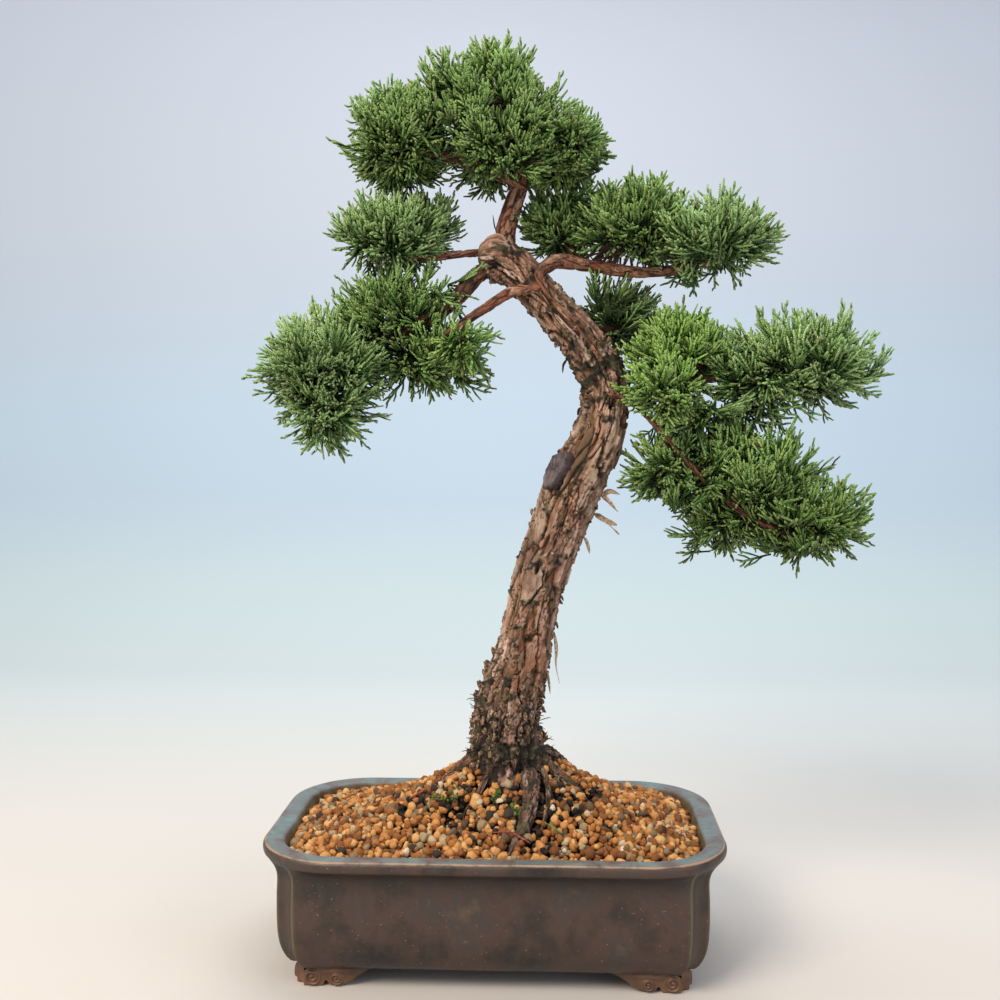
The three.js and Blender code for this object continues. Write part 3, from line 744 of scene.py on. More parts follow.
# %% Bark material
def bark(name, dark, mid, pale, bright, fresh_wood):
    """Dead outer bark, peeled in strips: dull, fibrous, grey-pink where weathered and orange
    where fresh. tone and hue pick a plate's colour, rise lightens what stands out, one mask
    darkens the fissures with painted shade and the bark near the soil where it is damp, and
    moss_at adds algae."""
    material, tree, shader = new_material(name, 0.86)
    place = add(tree, "ShaderNodeTexCoord").outputs["Object"]
    read = {key: add(tree, "ShaderNodeAttribute", attribute_name=key).outputs["Fac"]
            for key in ("tone", "crack", "rise", "hue", "moss_at")}
    blotch = add(tree, "ShaderNodeTexNoise", {"Vector": place, "Scale": 110.0, "Detail": 5.0,
                                              "Roughness": 0.65})
    string = add(tree, "ShaderNodeMapping", {"Vector": place, "Scale": (1, 1, 0.12)}).outputs[0]
    fibres = add(tree, "ShaderNodeTexNoise", {"Vector": string, "Scale": 1300.0, "Detail": 4.0,
                                              "Roughness": 0.7})
    level = add(tree, "ShaderNodeMath", {0: read["rise"], 1: 1.3, 2: read["tone"]},
                operation="MULTIPLY_ADD").outputs[0]
    blend = add(tree, "ShaderNodeMath", {0: blotch.outputs["Fac"], 1: 1.4, 2: level},
                operation="MULTIPLY_ADD").outputs[0]
    share = add(tree, "ShaderNodeMath", {0: fibres.outputs["Fac"], 1: 1.2, 2: blend},
                operation="MULTIPLY_ADD").outputs[0]
    plate = add(tree, "ShaderNodeMapRange", {"Value": share, "From Min": 1.35, "From Max": 3.55})
    base = add(tree, "ShaderNodeValToRGB", {"Fac": plate.outputs["Result"]},
               stops=[(0.0, dark), (0.3, mid), (0.62, pale), (1.0, bright)]).outputs["Color"]
    fresh = add(tree, "ShaderNodeMapRange", {"Value": read["hue"], "From Min": 0.6, "From Max": 0.74,
                                             "To Max": 0.45}).outputs["Result"]
    grey = add(tree, "ShaderNodeMapRange", {"Value": read["hue"], "From Min": 0.32, "From Max": 0.2,
                                            "To Max": 0.4}).outputs["Result"]
    stain = add(tree, "ShaderNodeTexNoise", {"Vector": string, "Scale": 95.0, "Detail": 5.0,
                                             "Roughness": 0.6, "Distortion": 0.8})
    stain_mask = add(tree, "ShaderNodeMapRange", {"Value": stain.outputs["Fac"], "From Min": 0.5,
                                                  "From Max": 0.62, "To Max": 0.62}).outputs["Result"]
    rust = add(tree, "ShaderNodeTexNoise", {"Vector": place, "Scale": 300.0, "Detail": 4.0})
    rust_mask = add(tree, "ShaderNodeMapRange", {"Value": rust.outputs["Fac"], "From Min": 0.55,
                                                 "From Max": 0.66, "To Max": 0.5}).outputs["Result"]
    algae = add(tree, "ShaderNodeValToRGB", {"Fac": rust.outputs["Fac"]},
                stops=[(0.38, "#100e08"), (0.52, "#2b2613"), (0.68, "#575030")]).outputs["Color"]
    # Painted shade: the fissure mask takes the near-black colour.
    colour = layer_colours(tree, base, [
        (fresh, fresh_wood), (grey, "#6d6044"), (stain_mask, "#4a3020"), (rust_mask, "#6f3b20"),
        (read["crack"], "#150d08"), (read["moss_at"], algae)])
    tree.links.new(colour, shader.inputs["Base Color"])
    bump = add(tree, "ShaderNodeBump", {"Height": fibres.outputs["Fac"], "Strength": 0.6,
                                        "Distance": 0.0008})
    tree.links.new(bump.outputs["Normal"], shader.inputs["Normal"])
    return material


old_bark = bark("old_juniper_bark", "#38220f", "#6f4a32", "#a27c65", "#cfb3a2", "#8f5330")
young_bark = bark("young_juniper_bark", "#34201a", "#643827", "#8b5741", "#b18a70", "#85461f")

# %% [markdown]
# ## The trunk
# The trunk leans out of the soil, swings right to a gnarled elbow and back left to its end knot.
# It is read from its solid above the roots and carried on down into the soil, where it widens
# into the roots. Old pruning wounds show as ringed knots.

# %% Trunk
TRUNK_SIDES = 176
ROOT_TOP = 100
ARM_FROM = 296
ARM_RUN = 290
# Each knot: its height (None for the trunk's end), its angle round the trunk (0 faces front), its
# radius and how far it stands out, in mm.
TRUNK_KNOTS = [(196, 0.18, 6.5, 1.6), (None, 0.2, 6.0, 1.8), (276, 5.6, 5.5, 1.7),
               (152, 1.0, 4.2, 1.1), (292, 0.9, 4.6, 1.4), (244, 4.6, 5.0, 1.2),
               (130, 3.6, 5.2, 1.4), (215, 2.6, 4.6, 1.2)]
# Where moss grows: height, strength and spread in mm.
TRUNK_MOSS = [(222, 0.55, 9), (196, 0.5, 8), (158, 0.55, 9), (286, 0.95, 25), (128, 0.65, 10),
              (102, 0.95, 14), (318, 0.55, 12), (345, 0.7, 10)]


def trunk_line():
    """The trunk's middle line: its own slices above the roots, and below them a straight run into
    the soil that widens as the height falls."""
    above = slices("trunk_and_roots", 2, np.arange(ROOT_TOP, ARM_FROM, 3.0))
    arm = slices("trunk_and_roots", 0, np.arange(42, -13, -3.0), lambda p: p[:, 2] > ARM_FROM - 6)
    arm[-1, 3] = arm[-3, 3] * 0.8
    above = np.vstack([above, arm])
    down = np.arange(58, ROOT_TOP - 1, 4.0)
    base = above[0]
    widen = 1 + 0.34 * ((ROOT_TOP - down) / 42) ** 1.4
    below = np.stack([base[0] + 0.06 * (ROOT_TOP - down), base[1] + 0 * down, down, base[3] * widen], -1)
    return resampled(np.concatenate([below, above]), 0.72, 3)


def moss_on(rings, line, spots, clump=4.2, base=0.32):
    """A mask for dark moss: round clumps a few mm across, many near each given (height, strength,
    spread in mm) and fewer elsewhere."""
    run = np.concatenate([[0], np.cumsum(np.linalg.norm(np.diff(line[:, :3], axis=0), axis=1))])
    around = max(int(round(2 * np.pi * line[:, 3].mean() / clump)), 3)
    u = np.arange(rings.shape[1])[None, :] / rings.shape[1] * around + 0 * run[:, None]
    v = run[:, None] / clump + 0 * u
    rough = 0.55 * smooth_noise(u, v, around, 71) + 0.45 * smooth_noise(u * 3, v * 3, around * 3, 72)
    total = np.full(v.shape, base)
    for height, strength, spread in spots:
        total = np.maximum(total, strength * np.exp(-((rings[..., 2] - height) / spread) ** 2))
    return step(0.85, 0.95, rough + 0.52 * total)


def make_trunk():
    """Bark tube with knots and algae. The root flare is a slow wave round its lowest stretch."""
    line = trunk_line()
    run = np.concatenate([[0], np.cumsum(np.linalg.norm(np.diff(line[:, :3], axis=0), axis=1))])
    at_height = lambda z: float(run[np.argmin(np.abs(line[:, 2] - z) + 1000 * (run > ARM_RUN))])
    knots = [(run[-1] - 4 if height is None else at_height(height), *rest)
             for height, *rest in TRUNK_KNOTS]
    flakes = np.maximum(step(146, 122, line[:, 2]), 0.8 * step(258, 274, line[:, 2]))
    rings, masks = bark_tube(line, TRUNK_SIDES, (5.8, 28.0), 1.7, 11, flakes[:, None], knots)
    angle = np.linspace(0, 2 * np.pi, TRUNK_SIDES, endpoint=False)[None, :]
    flare = step(118, 84, line[:, 2])[:, None]
    lobes = 1.6 + 2.0 * np.cos(5 * angle + 0.7) + 1.4 * np.cos(3 * angle + 2.1)
    centre = line[:, None, :3]
    rings += unit(rings - centre) * (flare * lobes)[..., None]
    elbow = np.exp(-((line[:, 2] - 283) / 16) ** 2)[:, None]
    gnarl = smooth_noise(angle * 4 + 0 * elbow, run[:, None] / 4.5 + 0 * angle, 25, 33) - 0.5
    knob = np.exp(-((line[:, 0] + 3) / 9) ** 2)[:, None] * (line[:, 2] > 325)[:, None]
    rings += unit(rings - centre) * ((3.0 * elbow + 6.0 * knob) * gnarl + 1.0 * knob)[..., None]
    masks["moss_at"] = moss_on(rings, line, TRUNK_MOSS)
    past = np.clip((run - run[-1] + 9) / 9, 0, 1)[:, None, None]
    rings = centre + (rings - centre) * np.sqrt(1 - 0.97 * past ** 2)
    tufts = smooth_noise(angle * 17 + 0 * flare, run[:, None] / 1.1 + 0 * angle, 107, 35)
    rings += unit(rings - centre) * (masks["moss_at"] * (0.3 + 1.1 * tufts))[..., None]
    # The bark darkens towards the soil, where it stays damp; this goes into the mask of the fissures'
    # painted shade.
    damp = step(150, 102, rings[..., 2]) * 1.35
    soaked = damp * (1.2 - 0.7 * masks["tone"] - 0.5 * masks["rise"])
    masks["crack"] = np.clip(masks["crack"] + soaked, 0, 0.95)
    points, faces = tube(rings)
    piece = build("trunk", points, faces, old_bark, **capped(masks))
    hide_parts("trunk_and_roots")
    return line, rings


trunk_spine, trunk_rings = make_trunk()

# %% [markdown]
# ## Branches
# Branches carry the same bark at a smaller scale, redder because it is younger. They start inside
# the trunk's bark, so each line is carried on for a few millimetres past its packed end.

# %% Branch lines
BRANCH_COLUMNS = 56
LEAST_RADIUS = 0.8
LOWER_RIGHT_SWELL = 1.5


def extended(line, reach):
    """A line with one more point before its start, reach mm further back."""
    back = line[0].copy()
    back[:3] -= unit(line[2, :3] - line[0, :3]) * reach
    return np.vstack([back, line])


def branch_line(name):
    """A branch's line from slices across the way it runs: across z for the leader, across x for
    the others, from trunk to tip. The upper right one first climbs in front of the trunk."""
    low, high = (np.array(corner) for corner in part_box(name))
    low, high = (low - POT_MIDDLE) / MM, (high - POT_MIDDLE) / MM
    if name == "leader":
        return extended(slices(name, 2, np.arange(low[2] + 1.5, high[2] - 0.5, 3.0)), 8)
    if name == "branch_right_upper":
        hook = slices(name, 2, np.arange(low[2] + 2, 336, 2.0), lambda p: p[:, 0] < 29)
        arm = slices(name, 0, np.arange(29, high[0] - 0.5, 3.0))
        hook[:, 3] = np.minimum(hook[:, 3], 4.2)
        return extended(np.vstack([hook, arm]), 5)
    levels = np.arange(low[0] + 0.8, high[0] - 0.8, 3.0)
    line = slices(name, 0, levels)
    leftward = name.endswith("left") or "_left_" in name
    line = line[::-1] if leftward else line
    # The cap keeps a branch's collar from bulging. The lower right branch starts in slices that
    # only graze its solid, so there the cap is too low: all of it falls to LEAST_RADIUS, and it
    # is drawn thinner than its solid.
    line[:, 3] = np.minimum(line[:, 3], 1.25 * np.median(line[:4, 3]))
    return extended(line, 7)


# How much painted shade darkens what lies low in a branch's bark.
BRANCH_SHADE = {"leader": 0.45, "branch_left_middle": 0.35, "branch_back": 0.4, "apex_branch_left": 0.3}
BRANCHES = [name for name in sorted(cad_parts) if "branch" in name or name == "leader"]
branch_lines = {}
for number, name in enumerate(BRANCHES):
    line = resampled(branch_line(name), 0.9, 2)
    swell = LOWER_RIGHT_SWELL if name == "branch_right_lower" else 1
    line[:, 3] = np.maximum(line[:, 3], LEAST_RADIUS) * swell
    branch_lines[name] = line
    wander = smooth_noise(np.arange(len(line)) / 9.0, np.zeros(len(line)), 256, 200 + number) - 0.5
    line[:, 1] += 1.6 * wander * step(4, 20, np.arange(len(line)))
    rings, masks = bark_tube(line, BRANCH_COLUMNS, (3.2, 12.0), 0.42, 300 + number)
    masks["moss_at"] = 0.6 * moss_on(rings, line, [(337, 0.6, 9)], 2.4, 0.3)
    masks["crack"] = np.clip(masks["crack"] + BRANCH_SHADE.get(name, 0) * (1.2 - masks["rise"]), 0, 0.9)
    points, faces = tube(rings)
    piece = build(f"bark_{name}", points, faces, young_bark, **capped(masks))
    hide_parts(name)

# %% [markdown]
# ## Scale-leaved shoots
# A juniper's shoot is a green cord about 1.4 mm thick, covered in tiny overlapping scales. Cords
# branch by turns left and right into flat plumes, and plumes stand together in bursts. All the
# cords of a pad are worked out at once as arrays: a burst, its plumes, and the cords of a plume.

# %% Shoot material
def shoots(name, shade, deep, leaf, tip, wood):
    """Living scale leaves: waxy, thin and a little translucent. u runs from a cord's foot to its
    tip, v is the cord's tone, which carries painted light and shade as well as chance, and the
    scales repeat every 1.1 mm along it."""
    material, tree, shader = new_material(name, 0.5)
    flat = add(tree, "ShaderNodeUVMap", uv_map="OFBake").outputs["UV"]
    split = add(tree, "ShaderNodeSeparateXYZ", {"Vector": flat})
    along, tone = split.outputs["X"], split.outputs["Y"]
    body = add(tree, "ShaderNodeValToRGB", {"Fac": tone},
               stops=[(0.0, wood), (0.05, shade), (0.32, deep), (0.75, leaf), (1.0, tip)])
    tip_mask = add(tree, "ShaderNodeMapRange", {"Value": along, "From Min": 0.45, "From Max": 1.0,
                                                "To Max": 0.62}).outputs["Result"]
    foot_mask = add(tree, "ShaderNodeMapRange", {"Value": along, "From Min": 0.22, "From Max": 0.0,
                                                 "To Max": 0.5}).outputs["Result"]
    scales = add(tree, "ShaderNodeMath", {0: along, 1: 75.0}, operation="MULTIPLY").outputs[0]
    wave = add(tree, "ShaderNodeMath", {0: scales}, operation="SINE").outputs[0]
    scale_mask = add(tree, "ShaderNodeMapRange", {"Value": wave, "From Min": 0.1, "From Max": -1.0,
                                                  "To Max": 0.35}).outputs["Result"]
    # Each cord darkens towards its foot, and the gaps between its scales are painted shade.
    colour = layer_colours(tree, body.outputs["Color"], [
        (tip_mask, tip), (foot_mask, shade), (scale_mask, shade)])
    tree.links.new(colour, shader.inputs["Base Color"])
    bump = add(tree, "ShaderNodeBump", {"Height": wave, "Strength": 0.5, "Distance": 0.0003})
    tree.links.new(bump.outputs["Normal"], shader.inputs["Normal"])
    return material


green = shoots("scale_leaf_green", "#22391a", "#46692b", "#70994a", "#a9c66e", "#7d5430")
pale_green = shoots("scale_leaf_pale", "#28421e", "#507a3a", "#82aa60", "#bcd48a", "#86603a")
bright_green = shoots("scale_leaf_spring", "#2c4a1e", "#55812f", "#83b147", "#bbd678", "#86602f")
# A darker copy of the green, painted shade for the pad at the back.
shaded_green = shoots("scale_leaf_shade", "#1a3016", "#375528", "#5c7f40", "#92aa5c", "#6a4626")

# %% Cords as arrays
RING = 3
CORD_RINGS = 3


def cord_mesh(start, direction, bend, length, thick, tone, rng):
    """Many cords at once. A cord's middle line is start + direction * s + bend * s squared, with s
    from 0 to its length; each ring is a triangle turned half a side from the one before, and its
    size swells and shrinks as scales do. One point closes the tip and one face the foot."""
    count = len(start)
    share = np.array([0, 0.5, 0.94, 1])
    s = share[None, :, None]
    line = start[:, None] + direction[:, None] * (s * length[:, None, None]) \
        + bend[:, None] * (s ** 2 * length[:, None, None])
    heading = unit(direction[:, None] + 2 * bend[:, None] * s)
    aside = unit(np.cross(heading, unit(rng.normal(size=(count, 1, 3)))))
    other = np.cross(heading, aside)
    swell = np.array([0.8, 1.08, 0.98])[None, :]
    radius = thick[:, None] * swell * (1 - 0.16 * share[:-1])
    turn = np.arange(RING)[None, :] * 2 * np.pi / RING + (np.arange(CORD_RINGS) % 2)[:, None] * np.pi / RING
    ring = (aside[:, :-1, None] * np.cos(turn)[None, ..., None]
            + other[:, :-1, None] * np.sin(turn)[None, ..., None]) * radius[..., None, None]
    body = (line[:, :-1, None] + ring).reshape(count, -1, 3)
    points = np.concatenate([body, line[:, -1:]], 1)
    per = CORD_RINGS * RING + 1
    base = (np.arange(count) * per)[:, None, None]
    sides = grid_faces(CORD_RINGS, RING)[None] + base
    last = (CORD_RINGS - 1) * RING
    loop = np.arange(RING)
    tip = np.stack([last + loop, last + (loop + 1) % RING, np.full(RING, per - 1)], -1)[None] + base
    foot = loop[::-1][None, None] + base
    u = np.concatenate([np.repeat(share[:-1], RING), [1.0]])
    v = np.concatenate([np.tile(np.array([0.0, 0.004, 0.008]), CORD_RINGS), [0.004]])
    uv = np.stack([np.tile(0.02 + 0.96 * u, (count, 1)), tone[:, None] * 0.97 + 0.01 + v], -1)
    faces = [sides.reshape(-1, 4), tip.reshape(-1, 3), foot.reshape(-1, 3)]
    return points.reshape(-1, 3), faces, uv.reshape(-1, 2)


# %% [markdown]
# ## Pads of foliage
# Each packed pad is the outline of one cloud of shoots. Bursts are spread evenly over its skin,
# and most of those that would hide the pad's branch are left out. Each points away from the pad's
# heart and a little up. A few sprays are placed singly, and twigs link most bursts to the branch.

# %% Bursts, plumes and cords
SIDE_CORDS = 6
PLUMES = 6
GOLDEN_TURN = 2.4


def even_points(name, count, rng):
    """Points spread over a solid's skin, each with the skin's outward way. Many are drawn by
    triangle area, and then every point too near an earlier one is passed over."""
    corners = node_points(name)
    normal = np.cross(corners[:, 1] - corners[:, 0], corners[:, 2] - corners[:, 0])
    area = np.linalg.norm(normal, axis=1)
    keep = area > 1e-6
    corners, normal, area = corners[keep], normal[keep] / area[keep, None], area[keep]
    spacing = math.sqrt(area.sum() / 2 / count) * 0.86
    pick = rng.choice(len(area), size=count * 14, p=area / area.sum())
    a, b = rng.random((2, count * 14, 1))
    flip = a + b > 1
    a, b = np.where(flip, 1 - a, a), np.where(flip, 1 - b, b)
    place = corners[pick, 0] * (1 - a - b) + corners[pick, 1] * a + corners[pick, 2] * b
    chosen = []
    for i in range(len(place)):
        if all(np.sum((place[i] - place[j]) ** 2) > spacing ** 2 for j in chosen):
            chosen.append(i)
        if len(chosen) == count:
            break
    return place[chosen], normal[pick][chosen]


def nearest_on(branch, points):
    """For each point, the nearest point of its pad's own branch, past the branch's first third."""
    line = branch_lines[branch]
    nodes = line[len(line) // 3:, :3]
    far = np.linalg.norm(points[:, None] - nodes[None], axis=-1)
    return nodes[far.argmin(1)]


def plume_cords(root, way, up, length, thick, tone, rng):
    """The cords of many plumes: one leading cord each, and side cords that leave it by turns left
    and right at about 45 degrees, shorter towards its tip."""
    count = len(root)
    bend = 0.30 * up + 0.16 * rng.normal(size=(count, 3))
    bend -= way * np.sum(bend * way, 1, keepdims=True)
    flat = unit(np.cross(way, unit(up + 0.7 * rng.normal(size=(count, 3)))))
    place = np.linspace(0.22, 0.9, SIDE_CORDS)[None, :] + rng.uniform(-0.04, 0.04, (count, SIDE_CORDS))
    sign = np.where(np.arange(SIDE_CORDS) % 2, 1, -1)[None, :, None]
    foot = root[:, None] + way[:, None] * (place * length[:, None])[..., None] \
        + bend[:, None] * (place ** 2 * length[:, None])[..., None]
    heading = unit(way[:, None] + 2 * bend[:, None] * place[..., None])
    spread = rng.uniform(0.5, 0.95, (count, SIDE_CORDS, 1))
    side_way = unit(heading + sign * flat[:, None] * spread + 0.16 * rng.normal(size=heading.shape))
    fern = np.where(rng.random((count, 1)) < 0.35, 0.6, 1.0)
    side_length = (1.1 - place) * length[:, None] * fern * rng.uniform(0.45, 0.8, place.shape) + 2.2
    side_bend = 0.28 * (heading - side_way) + 0.12 * up[:, None]
    side_tone = np.clip(tone[:, None] + rng.uniform(-0.1, 0.14, place.shape), 0.06, 1)
    side_tone = np.where(rng.random(place.shape) < 0.025, 0.01, side_tone)
    side_thick = thick[:, None] * rng.uniform(0.72, 0.92, place.shape)
    pairs = [(root, foot), (way, side_way), (bend, side_bend), (length, side_length),
             (thick, side_thick), (tone, side_tone)]
    return [np.concatenate([main, side.reshape((-1,) + side.shape[2:])]) for main, side in pairs]


def open_bursts(name, branch, bursts, rng):
    """Burst places on a pad's skin, their outward ways, and the places on the branch that their
    twigs start from. Most bursts close in front of the branch are left out."""
    place, out = even_points(name, bursts, rng)
    source = nearest_on(branch, place)
    clear = 10 if branch == "branch_right_lower" else 5
    ahead = (place[:, 1] < source[:, 1]) & (np.hypot(*(place - source)[:, [0, 2]].T) < clear)
    kept = ~(ahead & (rng.random(len(place)) < 0.85))
    return place[kept], out[kept], source[kept]


def fanned(way, rng):
    """The ways of each burst's plumes: a cone round the burst's own way, each plume turned by the
    golden angle from the last and tilted further out, with a little chance."""
    tilt = np.sqrt((np.arange(PLUMES) + 0.25) / PLUMES)[None, :] * rng.uniform(0.85, 1.15, (len(way), 1))
    turn = np.arange(PLUMES)[None, :] * GOLDEN_TURN + rng.uniform(0, 6.3, (len(way), 1))
    aside = unit(np.cross(way, unit(rng.normal(size=way.shape))))
    other = np.cross(way, aside)
    ray = way[:, None] * np.cos(tilt)[..., None] \
        + (aside[:, None] * np.cos(turn)[..., None] + other[:, None] * np.sin(turn)[..., None]) \
        * np.sin(tilt)[..., None]
    return unit(ray.reshape(-1, 3) + 0.12 * rng.normal(size=(len(way) * PLUMES, 3)))


def make_pad(name, branch, bursts, material, reach, droop, seed):
    """One pad: bursts on its skin and its own sprays, plumes fanned round each one's way, and
    cords on each plume. Returns the ends of its twigs, and the pad's heart."""
    rng = np.random.default_rng(seed)
    low, high = ((np.array(corner) - POT_MIDDLE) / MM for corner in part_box(name))
    heart = (low + high) / 2
    place, out, source = open_bursts(name, branch, bursts, rng)
    away = unit(place - (0.55 * heart + 0.45 * source))
    up = np.array([0, 0, 1.0])
    way = unit(0.75 * out + 0.7 * away + (0.32 - droop) * up + 0.18 * rng.normal(size=place.shape))
    deep = np.where(rng.random((len(place), 1)) < 0.25, 1.6, 1.0)
    stray = 1 + 0.28 * (rng.random(len(place)) < 0.14)
    centre = place - way * reach * deep * rng.uniform(0.82, 1.2, (len(place), 1))
    hung = SPRAYS.get(name, [])
    centre = np.vstack([centre] + [spot for spot, _ in hung])
    way = np.vstack([way] + [unit(np.array(heading)) for _, heading in hung])
    deep, stray = np.append(deep[:, 0], np.ones(len(hung))), np.append(stray, np.full(len(hung), 1.2))
    ray = fanned(way, rng)
    total = len(ray)
    root = np.repeat(centre, PLUMES, 0) + ray * rng.uniform(0.0, 3.0, (total, 1))
    length = reach * rng.uniform(0.62, 1.3, total) * np.repeat(stray, PLUMES)
    thick = rng.uniform(0.66, 0.82, total)
    # Painted light: plumes that point up are lighter, and bursts set deep in the pad are darker as painted
    # shade.
    lit = 0.42 + 0.3 * ray[:, 2] + rng.uniform(-0.16, 0.2, total)
    lit += np.repeat(rng.uniform(-0.16, 0.14, len(way)) - 0.2 * (deep > 1), PLUMES)
    up_all = np.tile(up * (1 - 2.2 * droop), (total, 1))
    cords = plume_cords(root, ray, up_all, length, thick, np.clip(lit, 0.08, 1), rng)
    points, faces, uv = cord_mesh(*cords, rng)
    piece = build(f"shoots_{name}", points, faces, material, uv=uv)
    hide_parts(name)
    return source, centre[:len(source)], heart


# Sprays that fill the gaps round a pad, most of them hanging: where each starts, and its way.
SPRAYS = {
    "foliage_right_middle": [((96, -6, 268), (0.6, -0.3, -0.6)), ((103, -9, 270), (0.2, -0.5, -0.8)),
                             ((112, -4, 270), (0.5, -0.2, -0.8)), ((121, 0, 272), (0.7, 0, -0.6)),
                             ((100, 6, 266), (0.3, 0.4, -0.8)), ((110, 8, 268), (0.4, 0.3, -0.8)),
                             ((91, -2, 266), (0, -0.4, -0.8)), ((108, -2, 282), (0.3, -0.5, 0.6))],
    "foliage_right_front": [((88, -6, 270), (0.5, -0.4, -0.6)), ((94, 0, 282), (0.8, 0.1, 0.2)),
                            ((80, 2, 262), (0.1, 0.2, -0.9))],
    "foliage_left_upper": [((-30, -4, 326), (0.3, -0.3, -0.8)), ((-40, 2, 324), (-0.2, 0.2, -0.9)),
                           ((-50, -4, 323), (-0.4, -0.3, -0.7)), ((-24, 0, 330), (0.6, 0.1, -0.6))],
    "foliage_left_middle": [((-58, -4, 300), (-0.6, -0.3, 0.5)), ((-60, 4, 288), (-0.7, 0.3, -0.4))],
    "foliage_apex_left": [((-40, 0, 372), (0.3, -0.2, -0.8)), ((-48, 2, 372), (-0.3, 0.2, -0.9))],
    "foliage_apex_right": [((34, -2, 372), (0.5, -0.2, -0.8)), ((42, 2, 374), (0.7, 0.2, -0.6))],
    "foliage_back": [((56, 8, 318), (0.8, -0.2, 0.5)), ((60, 4, 306), (0.8, -0.4, -0.2)),
                     ((50, 6, 320), (0.1, -0.2, 0.9))],
    "foliage_right_lower_inner": [((84, -2, 250), (0.2, -0.3, 0.8)), ((96, -4, 256), (0.3, -0.2, 0.9)),
                                  ((106, 2, 256), (0.3, 0.3, 0.8))],
}
# Each pad: its branch, its number of bursts, its leaf colour, its plumes' length in mm, and how
# far its bursts droop.
PADS = {
    "foliage_apex_crown": ("leader", 200, green, 13, 0.0),
    "foliage_apex_left": ("apex_branch_left", 105, green, 13.5, 0.05),
    "foliage_apex_right": ("apex_branch_right", 74, green, 13.5, 0.25),
    "foliage_left_upper": ("branch_left_upper", 84, pale_green, 13.5, 0.0),
    "foliage_left_middle": ("branch_left_middle", 100, green, 16, 0.1),
    "foliage_left_tip": ("branch_left_middle", 118, pale_green, 15.5, 0.1),
    "foliage_left_sprig": ("branch_left_lower", 8, bright_green, 14, 0.55),
    "foliage_right_upper_inner": ("branch_right_upper", 40, green, 15.5, 0.0),
    "foliage_right_upper_middle": ("branch_right_upper", 64, green, 16, 0.0),
    "foliage_right_upper_tip": ("branch_right_upper", 68, pale_green, 14.5, 0.0),
    "foliage_back": ("branch_back", 46, shaded_green, 16, 0.1),
    "foliage_right_front": ("branch_right_middle", 104, bright_green, 13, 0.1),
    "foliage_right_middle": ("branch_right_middle", 124, pale_green, 18.5, 0.0),
    "foliage_right_lower_inner": ("branch_right_lower", 66, green, 14, 0.1),
    "foliage_right_lower_middle": ("branch_right_lower", 108, green, 16, 0.0),
    "foliage_right_lower_tip": ("branch_right_lower", 78, green, 14, 0.15),
}
twig_ends = {}
for number, (name, pad) in enumerate(PADS.items()):
    twig_ends[name] = make_pad(name, *pad, 500 + number)

# %% [markdown]
# ## Twigs
# Inside a pad, thin brown twigs carry the green bursts. Each could be modelled with buds and
# scales, but only glimpses show, so a tapering four-sided tube is enough.

# %% Twigs
TWIG_SIDES = 4
TWIG_ROWS = 6
TWIG_SHARE = 0.6


def make_twigs(name, source, centre, heart, seed):
    """Brown twigs from the branch to some of the bursts: each is a curve that is drawn towards
    the pad's heart on its way, and it tapers to under half its thickness."""
    rng = np.random.default_rng(seed)
    some = rng.random(len(source)) < TWIG_SHARE
    source, centre = source[some], centre[some]
    count = len(source)
    share = np.linspace(0, 1, TWIG_ROWS)[None, :, None]
    middle = (0.6 * heart + 0.4 * source + rng.normal(size=(count, 3)) * 2.5)[:, None]
    line = source[:, None] * (1 - share) ** 2 + middle * 2 * share * (1 - share) \
        + centre[:, None] * share ** 2
    heading = unit(np.gradient(line, axis=1))
    aside = unit(np.cross(heading, unit(rng.normal(size=(count, 1, 3)))))
    other = np.cross(heading, aside)
    turn = np.arange(TWIG_SIDES) * 2 * np.pi / TWIG_SIDES
    radius = (0.6 - 0.32 * share)[..., None] * rng.uniform(0.75, 1.3, (count, 1, 1, 1))
    rings = line[:, :, None] + radius * (aside[:, :, None] * np.cos(turn)[None, None, :, None]
                                         + other[:, :, None] * np.sin(turn)[None, None, :, None])
    points, faces = joined([tube(ring) for ring in rings])
    tone = 0.6 * rng.random(count).repeat(TWIG_SIDES * TWIG_ROWS + 2)
    even = np.ones(len(points))
    # Twigs inside a pad are darkened all over through the mask of painted shade.
    piece = build(f"twigs_{name}", points, faces, young_bark, tone=tone, crack=0.25 * even,
                  hue=0.5 * even, moss_at=0.15 * even)
    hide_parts(name)


for number, (name, ends) in enumerate(twig_ends.items()):
    make_twigs(name, *ends, 700 + number)

# %% [markdown]
# ## Baked clay granules
# The top dressing is akadama, a baked clay sold sieved to 3 to 6 mm, with a little tan clay, black
# lava and white pumice. Handled grains break, so these run from 2.1 to 5.6 mm. A granule is a
# cube's grid pushed out to a ball, dented and cut flat on five sides, and thousands of them are
# made at once. They lie in two close layers with a sparse third on top.

# %% One granule, then thousands
def granule_shape():
    """A cube with two by two quads on each face, pushed most of the way to a ball: 26 points."""
    steps = np.array([-1, 0, 1])
    x, y, z = np.meshgrid(steps, steps, steps, indexing="ij")
    points = np.stack([x, y, z], -1).reshape(-1, 3)
    shell = np.abs(points).max(1) == 1
    number = np.cumsum(shell) - 1
    index = lambda p: number[(p[0] + 1) * 9 + (p[1] + 1) * 3 + (p[2] + 1)]
    quads = []
    for axis in range(3):
        for side in (-1, 1):
            for a in (-1, 0):
                for b in (-1, 0):
                    square = []
                    for da, db in ((0, 0), (1, 0), (1, 1), (0, 1)):
                        point = [0, 0, 0]
                        point[axis], point[(axis + 1) % 3], point[(axis + 2) % 3] = side, a + da, b + db
                        square.append(index(point))
                    quads.append(square if side > 0 else square[::-1])
    cube = points[shell].astype(float)
    return 0.75 * unit(cube) + 0.25 * cube * 0.72, np.array(quads)


GRANULE, GRANULE_QUADS = granule_shape()
print("granule:", len(GRANULE), "points,", len(GRANULE_QUADS), "quads")


